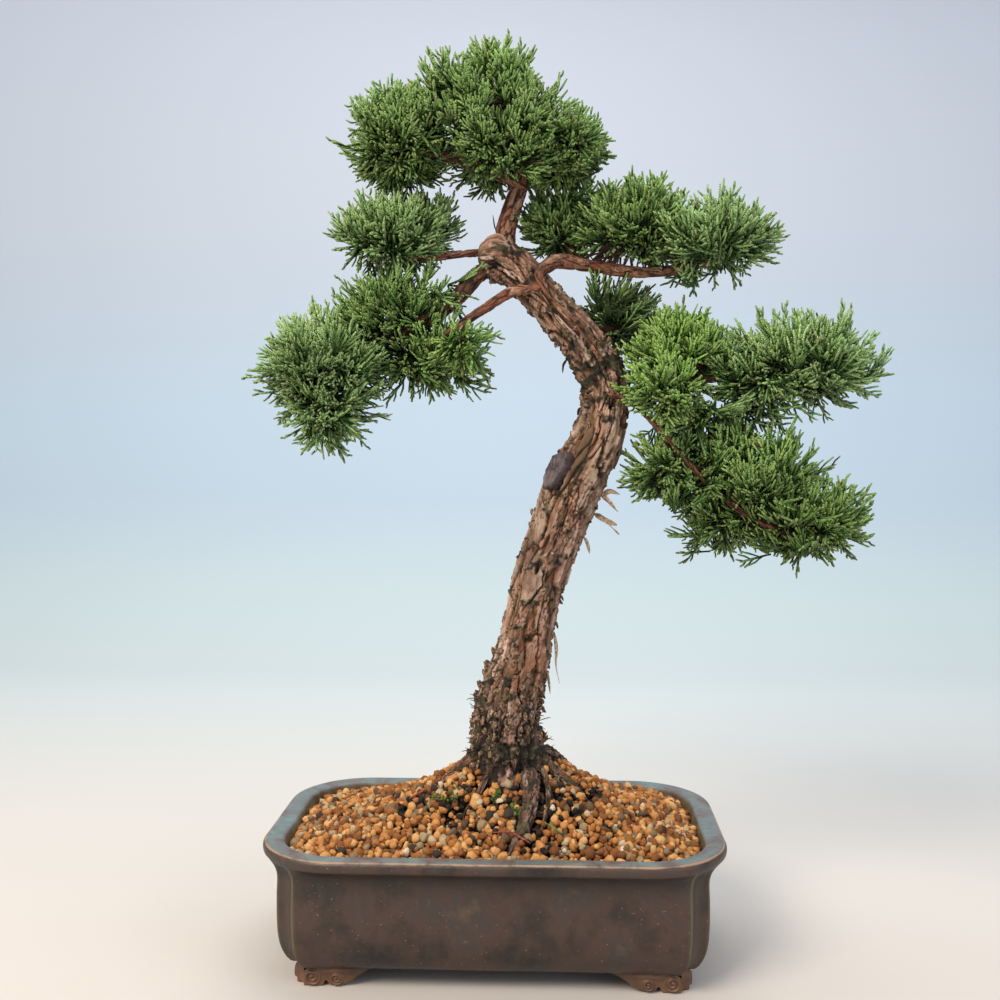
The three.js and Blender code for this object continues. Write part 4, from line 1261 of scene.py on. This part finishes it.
def granules(name, centre, size, material, seed):
    """Granules at centres (n, 3) with mean radii (n,): each is dented, cut flat on five sides,
    stretched, turned and set in its place, all as one array."""
    rng = np.random.default_rng(seed)
    count = len(centre)
    dent = 1 + rng.uniform(-0.14, 0.14, (count, len(GRANULE), 1))
    body = GRANULE[None] * dent
    for _ in range(5):
        way = unit(rng.normal(size=(count, 1, 3)))
        over = np.maximum(np.sum(body * way, -1, keepdims=True) - rng.uniform(0.5, 0.8, (count, 1, 1)), 0)
        body = body - over * way
    body = body * rng.uniform(0.8, 1.35, (count, 1, 3)) * size[:, None, None]
    spin = unit(rng.normal(size=(count, 4)))
    w, x, y, z = spin.T
    matrix = np.stack([1 - 2 * (y * y + z * z), 2 * (x * y - w * z), 2 * (x * z + w * y),
                       2 * (x * y + w * z), 1 - 2 * (x * x + z * z), 2 * (y * z - w * x),
                       2 * (x * z - w * y), 2 * (y * z + w * x), 1 - 2 * (x * x + y * y)], -1)
    body = np.einsum("nij,nkj->nki", matrix.reshape(-1, 3, 3), body) + centre[:, None]
    quads = GRANULE_QUADS[None] + (np.arange(count) * len(GRANULE))[:, None, None]
    tone = np.repeat(rng.random(count), len(GRANULE))
    piece = build(name, body.reshape(-1, 3), [quads.reshape(-1, 4)], material, tone=tone)
    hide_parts("soil")


# %% Granule materials
def fired_clay(name, stops, pore):
    """Porous fired clay: no shine, chalky, with a darker pore every millimetre or so."""
    material, tree, shader = new_material(name, 0.93)
    place = add(tree, "ShaderNodeTexCoord").outputs["Object"]
    tone = add(tree, "ShaderNodeAttribute", attribute_name="tone").outputs["Fac"]
    noise = add(tree, "ShaderNodeTexNoise", {"Vector": place, "Scale": 420.0, "Detail": 5.0,
                                             "Roughness": 0.7})
    total = add(tree, "ShaderNodeMath", {0: noise.outputs["Fac"], 1: 0.55, 2: tone},
                operation="MULTIPLY_ADD").outputs[0]
    share = add(tree, "ShaderNodeMapRange", {"Value": total, "From Min": 0.1, "From Max": 1.4})
    base = add(tree, "ShaderNodeValToRGB", {"Fac": share.outputs["Result"]}, stops=stops)
    holes = add(tree, "ShaderNodeTexVoronoi", {"Vector": place, "Scale": 1100.0})
    hole_mask = add(tree, "ShaderNodeMapRange", {"Value": holes.outputs["Distance"], "From Min": 0.3,
                                                 "From Max": 0.12, "To Max": 0.6})
    colour = layer_colours(tree, base.outputs["Color"], [(hole_mask.outputs["Result"], pore)])
    tree.links.new(colour, shader.inputs["Base Color"])
    bump = add(tree, "ShaderNodeBump", {"Height": noise.outputs["Fac"], "Strength": 0.8,
                                        "Distance": 0.0009})
    tree.links.new(bump.outputs["Normal"], shader.inputs["Normal"])
    return material


akadama = fired_clay("akadama_clay", [(0.0, "#4c2a0f"), (0.28, "#7b4a1f"), (0.5, "#a3662e"),
                                      (0.75, "#c58a4b"), (1.0, "#dcb078")], "#46260f")
tan_clay = fired_clay("kiryu_sand", [(0.0, "#4f3b25"), (0.4, "#7b6446"), (0.7, "#a08a66"),
                                     (1.0, "#c9b490")], "#3a2a19")
lava = fired_clay("black_lava", [(0.0, "#1c1611"), (0.5, "#3b2f26"), (1.0, "#64533f")], "#0e0c0b")
pumice = fired_clay("white_pumice", [(0.0, "#8f7f62"), (0.5, "#b9a688"), (1.0, "#dccdb2")], "#82735b")
humus = fired_clay("damp_humus", [(0.0, "#0d0906"), (0.5, "#1a120c"), (1.0, "#33241a")], "#070503")
cushion_moss = fired_clay("cushion_moss", [(0.0, "#232b10"), (0.5, "#45531e"), (1.0, "#75802f")],
                          "#141a0a")

# %% [markdown]
# ## Where granules and roots lie
# Granules follow the mound and stay clear of the roots, so both need the soil's height at a place,
# read by a ray straight down, and the roots' lines are worked out before the granules are laid.

# %% Height of the soil
soil_corners = node_points("soil")
soil_tree = BVHTree.FromPolygons([Vector(p) for p in soil_corners.reshape(-1, 3)],
                                 [(3 * i, 3 * i + 1, 3 * i + 2) for i in range(len(soil_corners))])


def soil_height(x, y):
    """Height of the packed soil under each (x, y), found by a ray straight down."""
    heights = []
    for px, py in zip(x, y):
        hit = soil_tree.ray_cast(Vector((px, py, 200)), Vector((0, 0, -1)))[0]
        heights.append(hit.z if hit else np.nan)
    return np.array(heights)


def inside_rim(x, y, margin):
    """True where (x, y) lies within the rim's inner edge, less a margin."""
    half = np.array([POT_LENGTH, POT_WIDTH]) / 2 - RIM_CORNER
    core_x, core_y = np.clip(x, -half[0], half[0]), np.clip(y, -half[1], half[1])
    return np.hypot(x - core_x, y - core_y) < RIM_CORNER - margin


# %% Where the surface roots run
# Each root: its radius at the trunk and at its end, then (x, y) points in mm from the pot's
# middle, the first of them inside the trunk.
SURFACE_ROOTS = [
    (4.4, 1.6, [(1, -3), (-10, -5), (-18, -6), (-25, -8), (-31, -11)]),
    (5.6, 2.4, [(9, -3), (15, -11), (18, -20), (18, -29), (14, -38), (9, -46)]),
    (3.2, 1.2, [(10, -2), (23, -10), (33, -13), (41, -15), (47, -19)]),
    (1.5, 0.6, [(12, -6), (23, -14), (26, -22), (26, -29), (22, -36)]),
    (2.0, 0.8, [(2, -4), (-2, -14), (-8, -22), (-16, -28)]),
    (5.0, 2.0, [(3, 2), (-8, 9), (-18, 16), (-27, 20)]),
    (5.0, 2.0, [(11, 3), (24, 8), (34, 15), (42, 20)]),
    (3.4, 1.4, [(8, 4), (12, 16), (12, 27), (9, 34)])]


def root_line(start_radius, end_radius, points):
    """A root's line: through its points, on the soil's slope, rising into the trunk at its start
    and diving under the soil at its end, with its radius shrinking all the way."""
    points = np.array(points, float)
    share = np.linspace(0, 1, 40)
    flat = np.stack([np.interp(share * (len(points) - 1), np.arange(len(points)), points[:, k])
                     for k in (0, 1)], -1)
    for _ in range(12):
        flat[1:-1] = (flat[:-2] + 2 * flat[1:-1] + flat[2:]) / 4
    ground = soil_height(flat[:, 0], flat[:, 1])
    thick = start_radius + (end_radius - start_radius) * share
    height = ground + 2.6 + 0.35 * thick + 10 * (1 - share) ** 5 - 7 * share ** 4
    return resampled(np.stack([flat[:, 0], flat[:, 1], height, thick], -1), 0.7, 2)


root_lines = [root_line(*root) for root in SURFACE_ROOTS]
print("surface roots:", len(root_lines))

# %% Lay the granules
# Damp patches, where crumbs of humus lie between the granules: x, y and spread in mm.
DAMP = [(9, -8, 14), (-18, -29, 7), (31, -28, 9), (21, -40, 8), (45, -12, 8), (-38, -17, 7),
        (-46, -24, 5), (4, 12, 13)]


def lay_granules(spacing, lift, margin, seed):
    """A jittered honeycomb of granule places on the soil, clear of the trunk's foot and roots."""
    rng = np.random.default_rng(seed)
    column, row = np.meshgrid(np.arange(-75, 76), np.arange(-50, 51))
    x = ((column + 0.5 * (row % 2)) * spacing).ravel() + rng.uniform(-0.42, 0.42, column.size) * spacing
    y = (row * spacing * 0.866).ravel() + rng.uniform(-0.42, 0.42, column.size) * spacing
    keep = inside_rim(x, y, margin)
    x, y = x[keep], y[keep]
    stems = np.concatenate([line[:, [0, 1, 3]] for line in root_lines])
    foot = trunk_spine[np.argmin(np.abs(trunk_spine[:, 2] - 92))]
    stems = np.vstack([stems, [foot[0], foot[1], 14.5]])
    far = np.hypot(x[:, None] - stems[:, 0], y[:, None] - stems[:, 1]) - 0.75 * stems[:, 2]
    x, y = x[far.min(1) > 0.9], y[far.min(1) > 0.9]
    z = soil_height(x, y)
    solid = ~np.isnan(z)
    return np.stack([x, y, z + lift + rng.uniform(-0.5, 0.6, len(x))], -1)[solid], rng


# Kinds by share of a random number: akadama below the first, then tan clay, lava and pumice.
TAN_FROM, LAVA_FROM, PUMICE_FROM = 0.82, 0.965, 0.988
CRUMB_SHRINK = 0.7
lower, _ = lay_granules(3.3, 0.2, 12.3, 900)
upper_layer, rng = lay_granules(3.25, 1.9, 12.8, 901)
crown, _ = lay_granules(5.6, 3.3, 16.5, 902)
places = np.concatenate([lower, upper_layer, crown])
radii = np.clip(rng.normal(1.82, 0.42, len(places)), 1.05, 2.8)
kind = rng.random(len(places))
wet = np.zeros(len(places))
for x, y, spread in DAMP:
    far = np.hypot(places[:, 0] - x, places[:, 1] - y) / spread
    wet = np.maximum(wet, np.exp(-0.5 * far ** 2))
dark = wet * rng.random(len(places)) > 0.3
inner = places[:, 0] < 8
for name, chosen, material in (
        ("granules_akadama_left", ~dark & (kind < TAN_FROM) & inner, akadama),
        ("granules_akadama_right", ~dark & (kind < TAN_FROM) & ~inner, akadama),
        ("granules_tan", ~dark & (kind >= TAN_FROM) & (kind < LAVA_FROM), tan_clay),
        ("granules_lava", ~dark & (kind >= LAVA_FROM) & (kind < PUMICE_FROM), lava),
        ("granules_pumice", ~dark & (kind >= PUMICE_FROM), pumice),
        ("humus_crumbs", dark, humus)):
    shrink = CRUMB_SHRINK if name == "humus_crumbs" else 1
    granules(name, places[chosen], radii[chosen] * shrink, material,
             int(910 + 7 * kind[chosen].sum()))

# %% [markdown]
# ## Cushion moss and single stones
# Moss starts as small cushions where the soil stays damp, and a few pale stones lie loose on top.
# Both are made of the same granules, small and crowded for moss and single for stones.

# %% Cushion moss and a few single stones
GRANULE_TOP = 3.4
TUFT_GRAINS = 42
# Each tuft of moss: x, y and spread in mm. Each stone: x, y and radius in mm.
TUFTS = [(-28, -22, 4), (10, -31, 3), (-19, -22, 4), (1, -24, 3)]
STONES = [(7, -21, 2.5), (-7, -27, 2.0), (3, -27, 1.9), (28, -31, 1.6), (33, -24, 1.4), (38, -22, 1.5)]


def on_soil(x, y, lift):
    """Places in mm on the top of the granules, lift mm higher."""
    x, y = np.atleast_1d(x).astype(float), np.atleast_1d(y).astype(float)
    return np.stack([x, y, soil_height(x, y) + GRANULE_TOP + lift], -1)


rng = np.random.default_rng(930)
tufts = np.concatenate([rng.normal((x, y), spread / 2, (TUFT_GRAINS, 2)) for x, y, spread in TUFTS])
tuft_places = on_soil(tufts[:, 0], tufts[:, 1], rng.uniform(-0.6, 0.8, len(tufts)))
granules("moss_tufts", tuft_places, rng.uniform(0.4, 0.95, len(tufts)), cushion_moss, 931)
stones = np.array(STONES)
granules("loose_stones", on_soil(stones[:, 0], stones[:, 1], 0.6), stones[:, 2], pumice, 932)

# %% [markdown]
# ## Roots, rootlets and loose bark
# Surface roots leave the trunk's foot, follow the soil and dive under it. Fine black rootlets
# stick out of the trunk's lowest bark, and here and there a strip of bark hangs by one end.

# %% Surface roots
shapes = []
marks = {"tone": [], "crack": [], "rise": [], "hue": []}
for number, line in enumerate(root_lines):
    rings, masks = bark_tube(line, 44, (3.2, 9.0), 0.55, 400 + number, 0.5)
    collar = 1 + 0.07 * np.sin(np.arange(len(line)) * 0.7 / 2.6 * 2 * np.pi)[:, None, None]
    centre = line[:, None, :3]
    shapes.append(tube(centre + (rings - centre) * collar))
    for key, values in capped(masks).items():
        marks[key].append(values)
points, faces = joined(shapes)
marks = {key: np.concatenate(values) for key, values in marks.items()}
grime = smooth_noise(points[:, 0] / 2.5 + 60, points[:, 1] / 2.5 + 60, 256, 77)
marks["moss_at"] = 0.85 * step(0.42, 0.62, grime)
# The roots' bark is darkened all over, through the same mask as the fissures' painted shade.
marks["crack"] = np.clip(marks["crack"] + 0.35, 0, 0.95)
surface_roots = build("surface_roots", points, faces, old_bark, **marks)
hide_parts("trunk_and_roots")

# %% Strands
def strand(points, wide, thin, turn=0.0, rows=14, sides=6):
    """A closed strand along a smooth line through a few points. wide and thin are its half-width
    and half-thickness, both smaller at its ends, and turn is its twist along the way."""
    points = np.array(points, float)
    at = np.linspace(0, len(points) - 1, rows)
    line = np.stack([np.interp(at, np.arange(len(points)), points[:, k]) for k in range(3)], -1)
    for _ in range(2):
        line[1:-1] = (line[:-2] + 2 * line[1:-1] + line[2:]) / 4
    direction, side, front = frames_along(line)
    share = np.linspace(0, 1, rows)[:, None]
    swing = 2 * np.pi * turn * share
    across = side * np.cos(swing) + front * np.sin(swing)
    over = np.cross(across, direction)
    slim = (1 - 0.75 * np.abs(2 * share - 1) ** 3)[..., None]
    round_it = np.linspace(0, 2 * np.pi, sides, endpoint=False)[None, :, None]
    ring = across[:, None] * np.cos(round_it) * wide + over[:, None] * np.sin(round_it) * thin
    return tube(line[:, None] + ring * slim)


def fibre_material(name, stops, roughness=0.8):
    """A dry plant fibre: mottling of a millimetre and finer over a ramp of colours."""
    material, tree, shader = new_material(name, roughness)
    place = add(tree, "ShaderNodeTexCoord").outputs["Object"]
    mottle = add(tree, "ShaderNodeTexNoise", {"Vector": place, "Scale": 900.0, "Detail": 4.0})
    base = add(tree, "ShaderNodeValToRGB", {"Fac": mottle.outputs["Fac"]}, stops=stops)
    tree.links.new(base.outputs["Color"], shader.inputs["Base Color"])
    bump = add(tree, "ShaderNodeBump", {"Height": mottle.outputs["Fac"], "Strength": 0.5,
                                        "Distance": 0.0003})
    tree.links.new(bump.outputs["Normal"], shader.inputs["Normal"])
    return material


def lay_strands(name, shapes, material, node):
    """Joins strands into one piece that stands in for part of a node."""
    piece = build(name, *joined(shapes), material)
    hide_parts(node)


# %% Rootlets and flakes on the trunk
ROOTLETS = 150
FOOT_FLAKES = 260
UPPER_FLAKES = 150


def on_trunk(rng, count, low, high):
    """Random places on the trunk's bark between two heights, each with its outward way."""
    row = rng.choice(np.flatnonzero((trunk_spine[:, 2] > low) & (trunk_spine[:, 2] < high)), count)
    column = rng.integers(0, TRUNK_SIDES, count)
    place = trunk_rings[row, column]
    return place, unit(place - trunk_spine[row, :3])


rng = np.random.default_rng(940)
place, out = on_trunk(rng, ROOTLETS, 89, 124)
tips = unit(out + 0.55 * rng.normal(size=out.shape)) * rng.uniform(2.5, 8, (ROOTLETS, 1))
middle = 0.55 * tips + 0.8 * rng.normal(size=tips.shape)
rootlets = [strand([foot - way, foot + half, foot + tip], 0.22, 0.2, rows=6, sides=4)
            for foot, way, half, tip in zip(place, out, middle, tips)]
for line in root_lines[:6]:
    for at in rng.integers(4, len(line) - 8, 16):
        foot = line[at, :3] + [0, 0, line[at, 3] * 0.8]
        tip = unit(rng.normal(size=3) * [1, 1, 0.3] + [0, -0.2, 0.25]) * rng.uniform(3, 7)
        rootlets.append(strand([foot, foot + 0.5 * tip + [0, 0, 0.8], foot + tip], 0.2, 0.18,
                               rows=6, sides=4))
root_black = fibre_material("fine_root", [(0.35, "#0d0906"), (0.6, "#241811"), (0.75, "#3a281b")])
lay_strands("rootlets", rootlets, root_black, "trunk_and_roots")

place, out = on_trunk(rng, FOOT_FLAKES, 98, 138)
more_place, more_out = on_trunk(rng, UPPER_FLAKES, 140, 325)
place, out = np.concatenate([place, more_place]), np.concatenate([out, more_out])
lift = rng.uniform(0.4, 1.9, (len(place), 1))
rise = np.array([0, 0, 1.0]) * rng.uniform(1.8, 4.6, (len(place), 1))
rise = rise * rng.choice([-1, 1], (len(place), 1))
skew = 0.5 * rng.normal(size=place.shape)
flakes = [strand([foot - 0.6 * way, foot + 0.3 * way + 0.5 * up, foot + way * out_by + up + bend],
                 rng.uniform(0.6, 1.5), 0.16, turn=rng.uniform(-0.15, 0.15), rows=7)
          for foot, way, up, out_by, bend in zip(place, out, rise, lift, skew)]
flake_bark = fibre_material("flaked_bark", [(0.3, "#2a1a10"), (0.5, "#6b5039"), (0.62, "#9a7f66"),
                                            (0.75, "#bfa88f")])
lay_strands("bark_flakes", flakes, flake_bark, "trunk_and_roots")

# %% Peeling strips
straw = fibre_material("dry_straw", [(0.35, "#8f7355"), (0.55, "#bfa585"), (0.7, "#e0d0b8")])
green_needle = fibre_material("green_needle", [(0.35, "#1d4a1e"), (0.6, "#3f8a3a")], 0.5)
red_twig = fibre_material("red_twig", [(0.35, "#5b2418"), (0.6, "#94452f"), (0.75, "#b56a4c")])


def trunk_side(height, way):
    """A place on the trunk's outline at a height, on its right (way 1) or left (way -1)."""
    ring = trunk_rings[np.argmin(np.abs(trunk_spine[:, 2] - height))]
    return ring[np.argmax(way * ring[:, 0])]


def offsets(start, *steps):
    """A path in mm from a start: each step is added to the start, not to the last step."""
    return [start] + [start + np.array(one, float) for one in steps]


upper_edge, lower_edge = trunk_side(232, 1), trunk_side(222, 1)
peels = [strand(offsets(upper_edge, (4, -2, 2.4), (9, -2, 0.6)), 1.5, 0.2, 0.2),
         strand(offsets(upper_edge, (3, -2, -2), (8, -3, -8)), 1.3, 0.2, -0.2),
         strand(offsets(lower_edge, (3, -2, -1.5), (8, -2, -6), (12, -3, -10)), 1.8, 0.22, 0.35),
         strand(offsets(lower_edge, (5, -1, -3), (11, -1, -5.5)), 1.4, 0.2, 0.1),
         strand(offsets(trunk_side(210, 1), (1.6, -1, -3), (2.6, -1, -8)), 0.9, 0.2, 0.1),
         strand(offsets(trunk_side(160, 1), (1.2, -1, -8), (0.6, -2, -16), (2.6, -2, -25)), 1.1, 0.2, 0.3),
         strand(offsets(trunk_side(142, 1), (1, -2, -5), (1.6, -2, -11)), 0.8, 0.2, -0.2)]
lay_strands("peeling_strips", peels, straw, "trunk_and_roots")

# %% What has fallen on the soil
# Each path is (x, y, lift) in mm, with the lift from the top of the granules.
STRAW_PATHS = [((86, -24, 1), (92, -30, 2), (97, -36, 1)), ((86, -24, 1), (91, -22, 2.5), (95, -21, 2)),
               ((-62, -32, 1), (-58, -37, 1.4)), ((60, 8, 1), (66, 4, 1.6))]
TWIG_PATHS = [((0, -41, 0.8), (9, -43, 2.4), (18, -47, 0.8)), ((-34, -12, 1), (-42, -15, 1))]
NEEDLE_PATHS = [((24, -38, 2.4), (33, -43, 1)), ((27, -36, 1), (30, -44, 2))]


def laid(paths, wide, thin):
    """Strands that lie on the granules along the given paths."""
    return [strand(np.concatenate([on_soil(*place, lift) for *place, lift in path]), wide, thin)
            for path in paths]


lay_strands("fallen_straws", laid(STRAW_PATHS, 0.45, 0.35), straw, "soil")
lay_strands("fallen_twigs", laid(TWIG_PATHS, 0.6, 0.6), red_twig, "soil")
lay_strands("fallen_needles", laid(NEEDLE_PATHS, 0.34, 0.3), green_needle, "soil")
snags = [strand(offsets(trunk_side(300, -1) + [1, 0, 0], (-2, -1, -3), (-2.2, -1, -7)), 0.7, 0.4, 0.2),
         strand(offsets(branch_lines["leader"][12, :3], (-5, -2, 2), (-6, -2, 9)), 0.35, 0.35),
         strand(offsets(trunk_side(268, -1) + [1, 0, 0], (-2, -1, -1), (-2.6, -1, -4)), 0.7, 0.4, 0.1)]
lay_strands("dead_snags", snags, root_black, "trunk_and_roots")

# %% [markdown]
# ## The wound's seal
# A pruning cut is painted with paste that dries to a grey-brown skin with a rolled lip. Its outline
# is found by a ray from the middle at each angle, and rings carry it from the edge to a low dome.

# %% The wound's seal
SEAL_EDGE_RINGS, SEAL_TOP_RINGS = 5, 22
# The patch's corners in mm from its middle: how far right and how far up.
SEAL_OUTLINE = [(8, 6.5), (6.4, 8.6), (-0.6, 8.2), (-5.6, 0.6), (-7.2, -5.2), (-6.2, -8.2), (-2.6, -8.8),
                (6.2, 0.4)]


def seal_patch(finish):
    """A dried skin of paste over a pruning wound: a flat many-cornered patch that lies in the
    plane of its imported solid, with a rolled lip and a few puckers."""
    corners = node_points("wound_seal").reshape(-1, 3)
    middle = (corners.min(0) + corners.max(0)) / 2
    thin_way = np.linalg.svd(corners - middle, full_matrices=False)[2][2]
    thin_way = thin_way * -np.sign(thin_way[1])
    wide_way = unit(np.array([1.0, 0, 0]) - thin_way[0] * thin_way)
    long_way = np.cross(wide_way, -thin_way)
    long_way = long_way * np.sign(long_way[2])
    outline = np.array(SEAL_OUTLINE)
    edge = np.roll(outline, -1, 0) - outline
    angle = np.linspace(-np.pi, np.pi, 128, endpoint=False)
    ray = np.stack([np.cos(angle), np.sin(angle)], -1)
    cross = lambda a, b: a[..., 0] * b[..., 1] - a[..., 1] * b[..., 0]
    meets = cross(outline, edge)[None] / (cross(ray[:, None], edge[None]) + 1e-9)
    reach = np.where(meets > 0, meets, 99).min(1)
    reach = reach * (1 + 0.03 * np.sin(angle * 11 + 1) + 0.02 * np.sin(angle * 23))
    half = np.abs((corners - middle) @ thin_way).max()
    share = np.concatenate([np.linspace(0.2, 1, SEAL_EDGE_RINGS),
                            np.linspace(0.99, 0.04, SEAL_TOP_RINGS)])[:, None]
    front = (np.arange(SEAL_EDGE_RINGS + SEAL_TOP_RINGS) >= SEAL_EDGE_RINGS)[:, None]
    pucker = smooth_noise(angle[None, :] * 16 / np.pi + 16, share * 6 + 0 * angle, 32, 950) - 0.5
    dome = half * (0.3 + 0.45 * np.sqrt(np.clip(1 - share ** 9, 0, 1)))
    dome = dome + 0.45 * np.exp(-((share - 0.9) / 0.06) ** 2)
    level = np.where(front, dome + 0.6 * pucker, -half)
    x, y = share * reach * np.cos(angle), share * reach * np.sin(angle)
    rings = middle + x[..., None] * wide_way + y[..., None] * long_way + level[..., None] * thin_way
    piece = build("seal_patch", *tube(rings), finish)
    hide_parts("wound_seal")


# %% [markdown]
# ## Nets and wire
# The nets, their clips and the anchor wire are hidden in the pot and were packed at their true
# shapes, so they keep those and get a moulded plastic and an anodised wire finish.

# %% Finish what the frame still shows
def plain_detail(name, colours, roughness, scale, metallic=0.0):
    """A moulded or drawn surface: fine mottling and a light bump at the given scale."""
    material, tree, shader = new_material(name, roughness, Metallic=metallic)
    place = add(tree, "ShaderNodeTexCoord").outputs["Object"]
    noise = add(tree, "ShaderNodeTexNoise", {"Vector": place, "Scale": scale, "Detail": 4.0})
    base = add(tree, "ShaderNodeValToRGB", {"Fac": noise.outputs["Fac"]},
               stops=[(0.35, colours[0]), (0.65, colours[1])])
    tree.links.new(base.outputs["Color"], shader.inputs["Base Color"])
    bump = add(tree, "ShaderNodeBump", {"Height": noise.outputs["Fac"], "Strength": 0.4,
                                        "Distance": 0.0003})
    tree.links.new(bump.outputs["Normal"], shader.inputs["Normal"])
    return material


net_plastic = plain_detail("moulded_polyethylene_net", ("#161817", "#252827"), 0.55, 700.0)
soft_wire = plain_detail("anodised_bonsai_wire", ("#6f4f35", "#8a6a4c"), 0.42, 900.0, 0.9)
cut_paste = plain_detail("dried_cut_paste", ("#372d2e", "#5e5051"), 0.55, 260.0)
seal_patch(cut_paste)
for name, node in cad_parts.items():
    if name.startswith("drain_mesh"):
        node.data.materials.clear()
        node.data.materials.append(net_plastic)
    if name.startswith("mesh_clip") or name == "anchor_wire":
        node.data.materials.clear()
        node.data.materials.append(soft_wire)
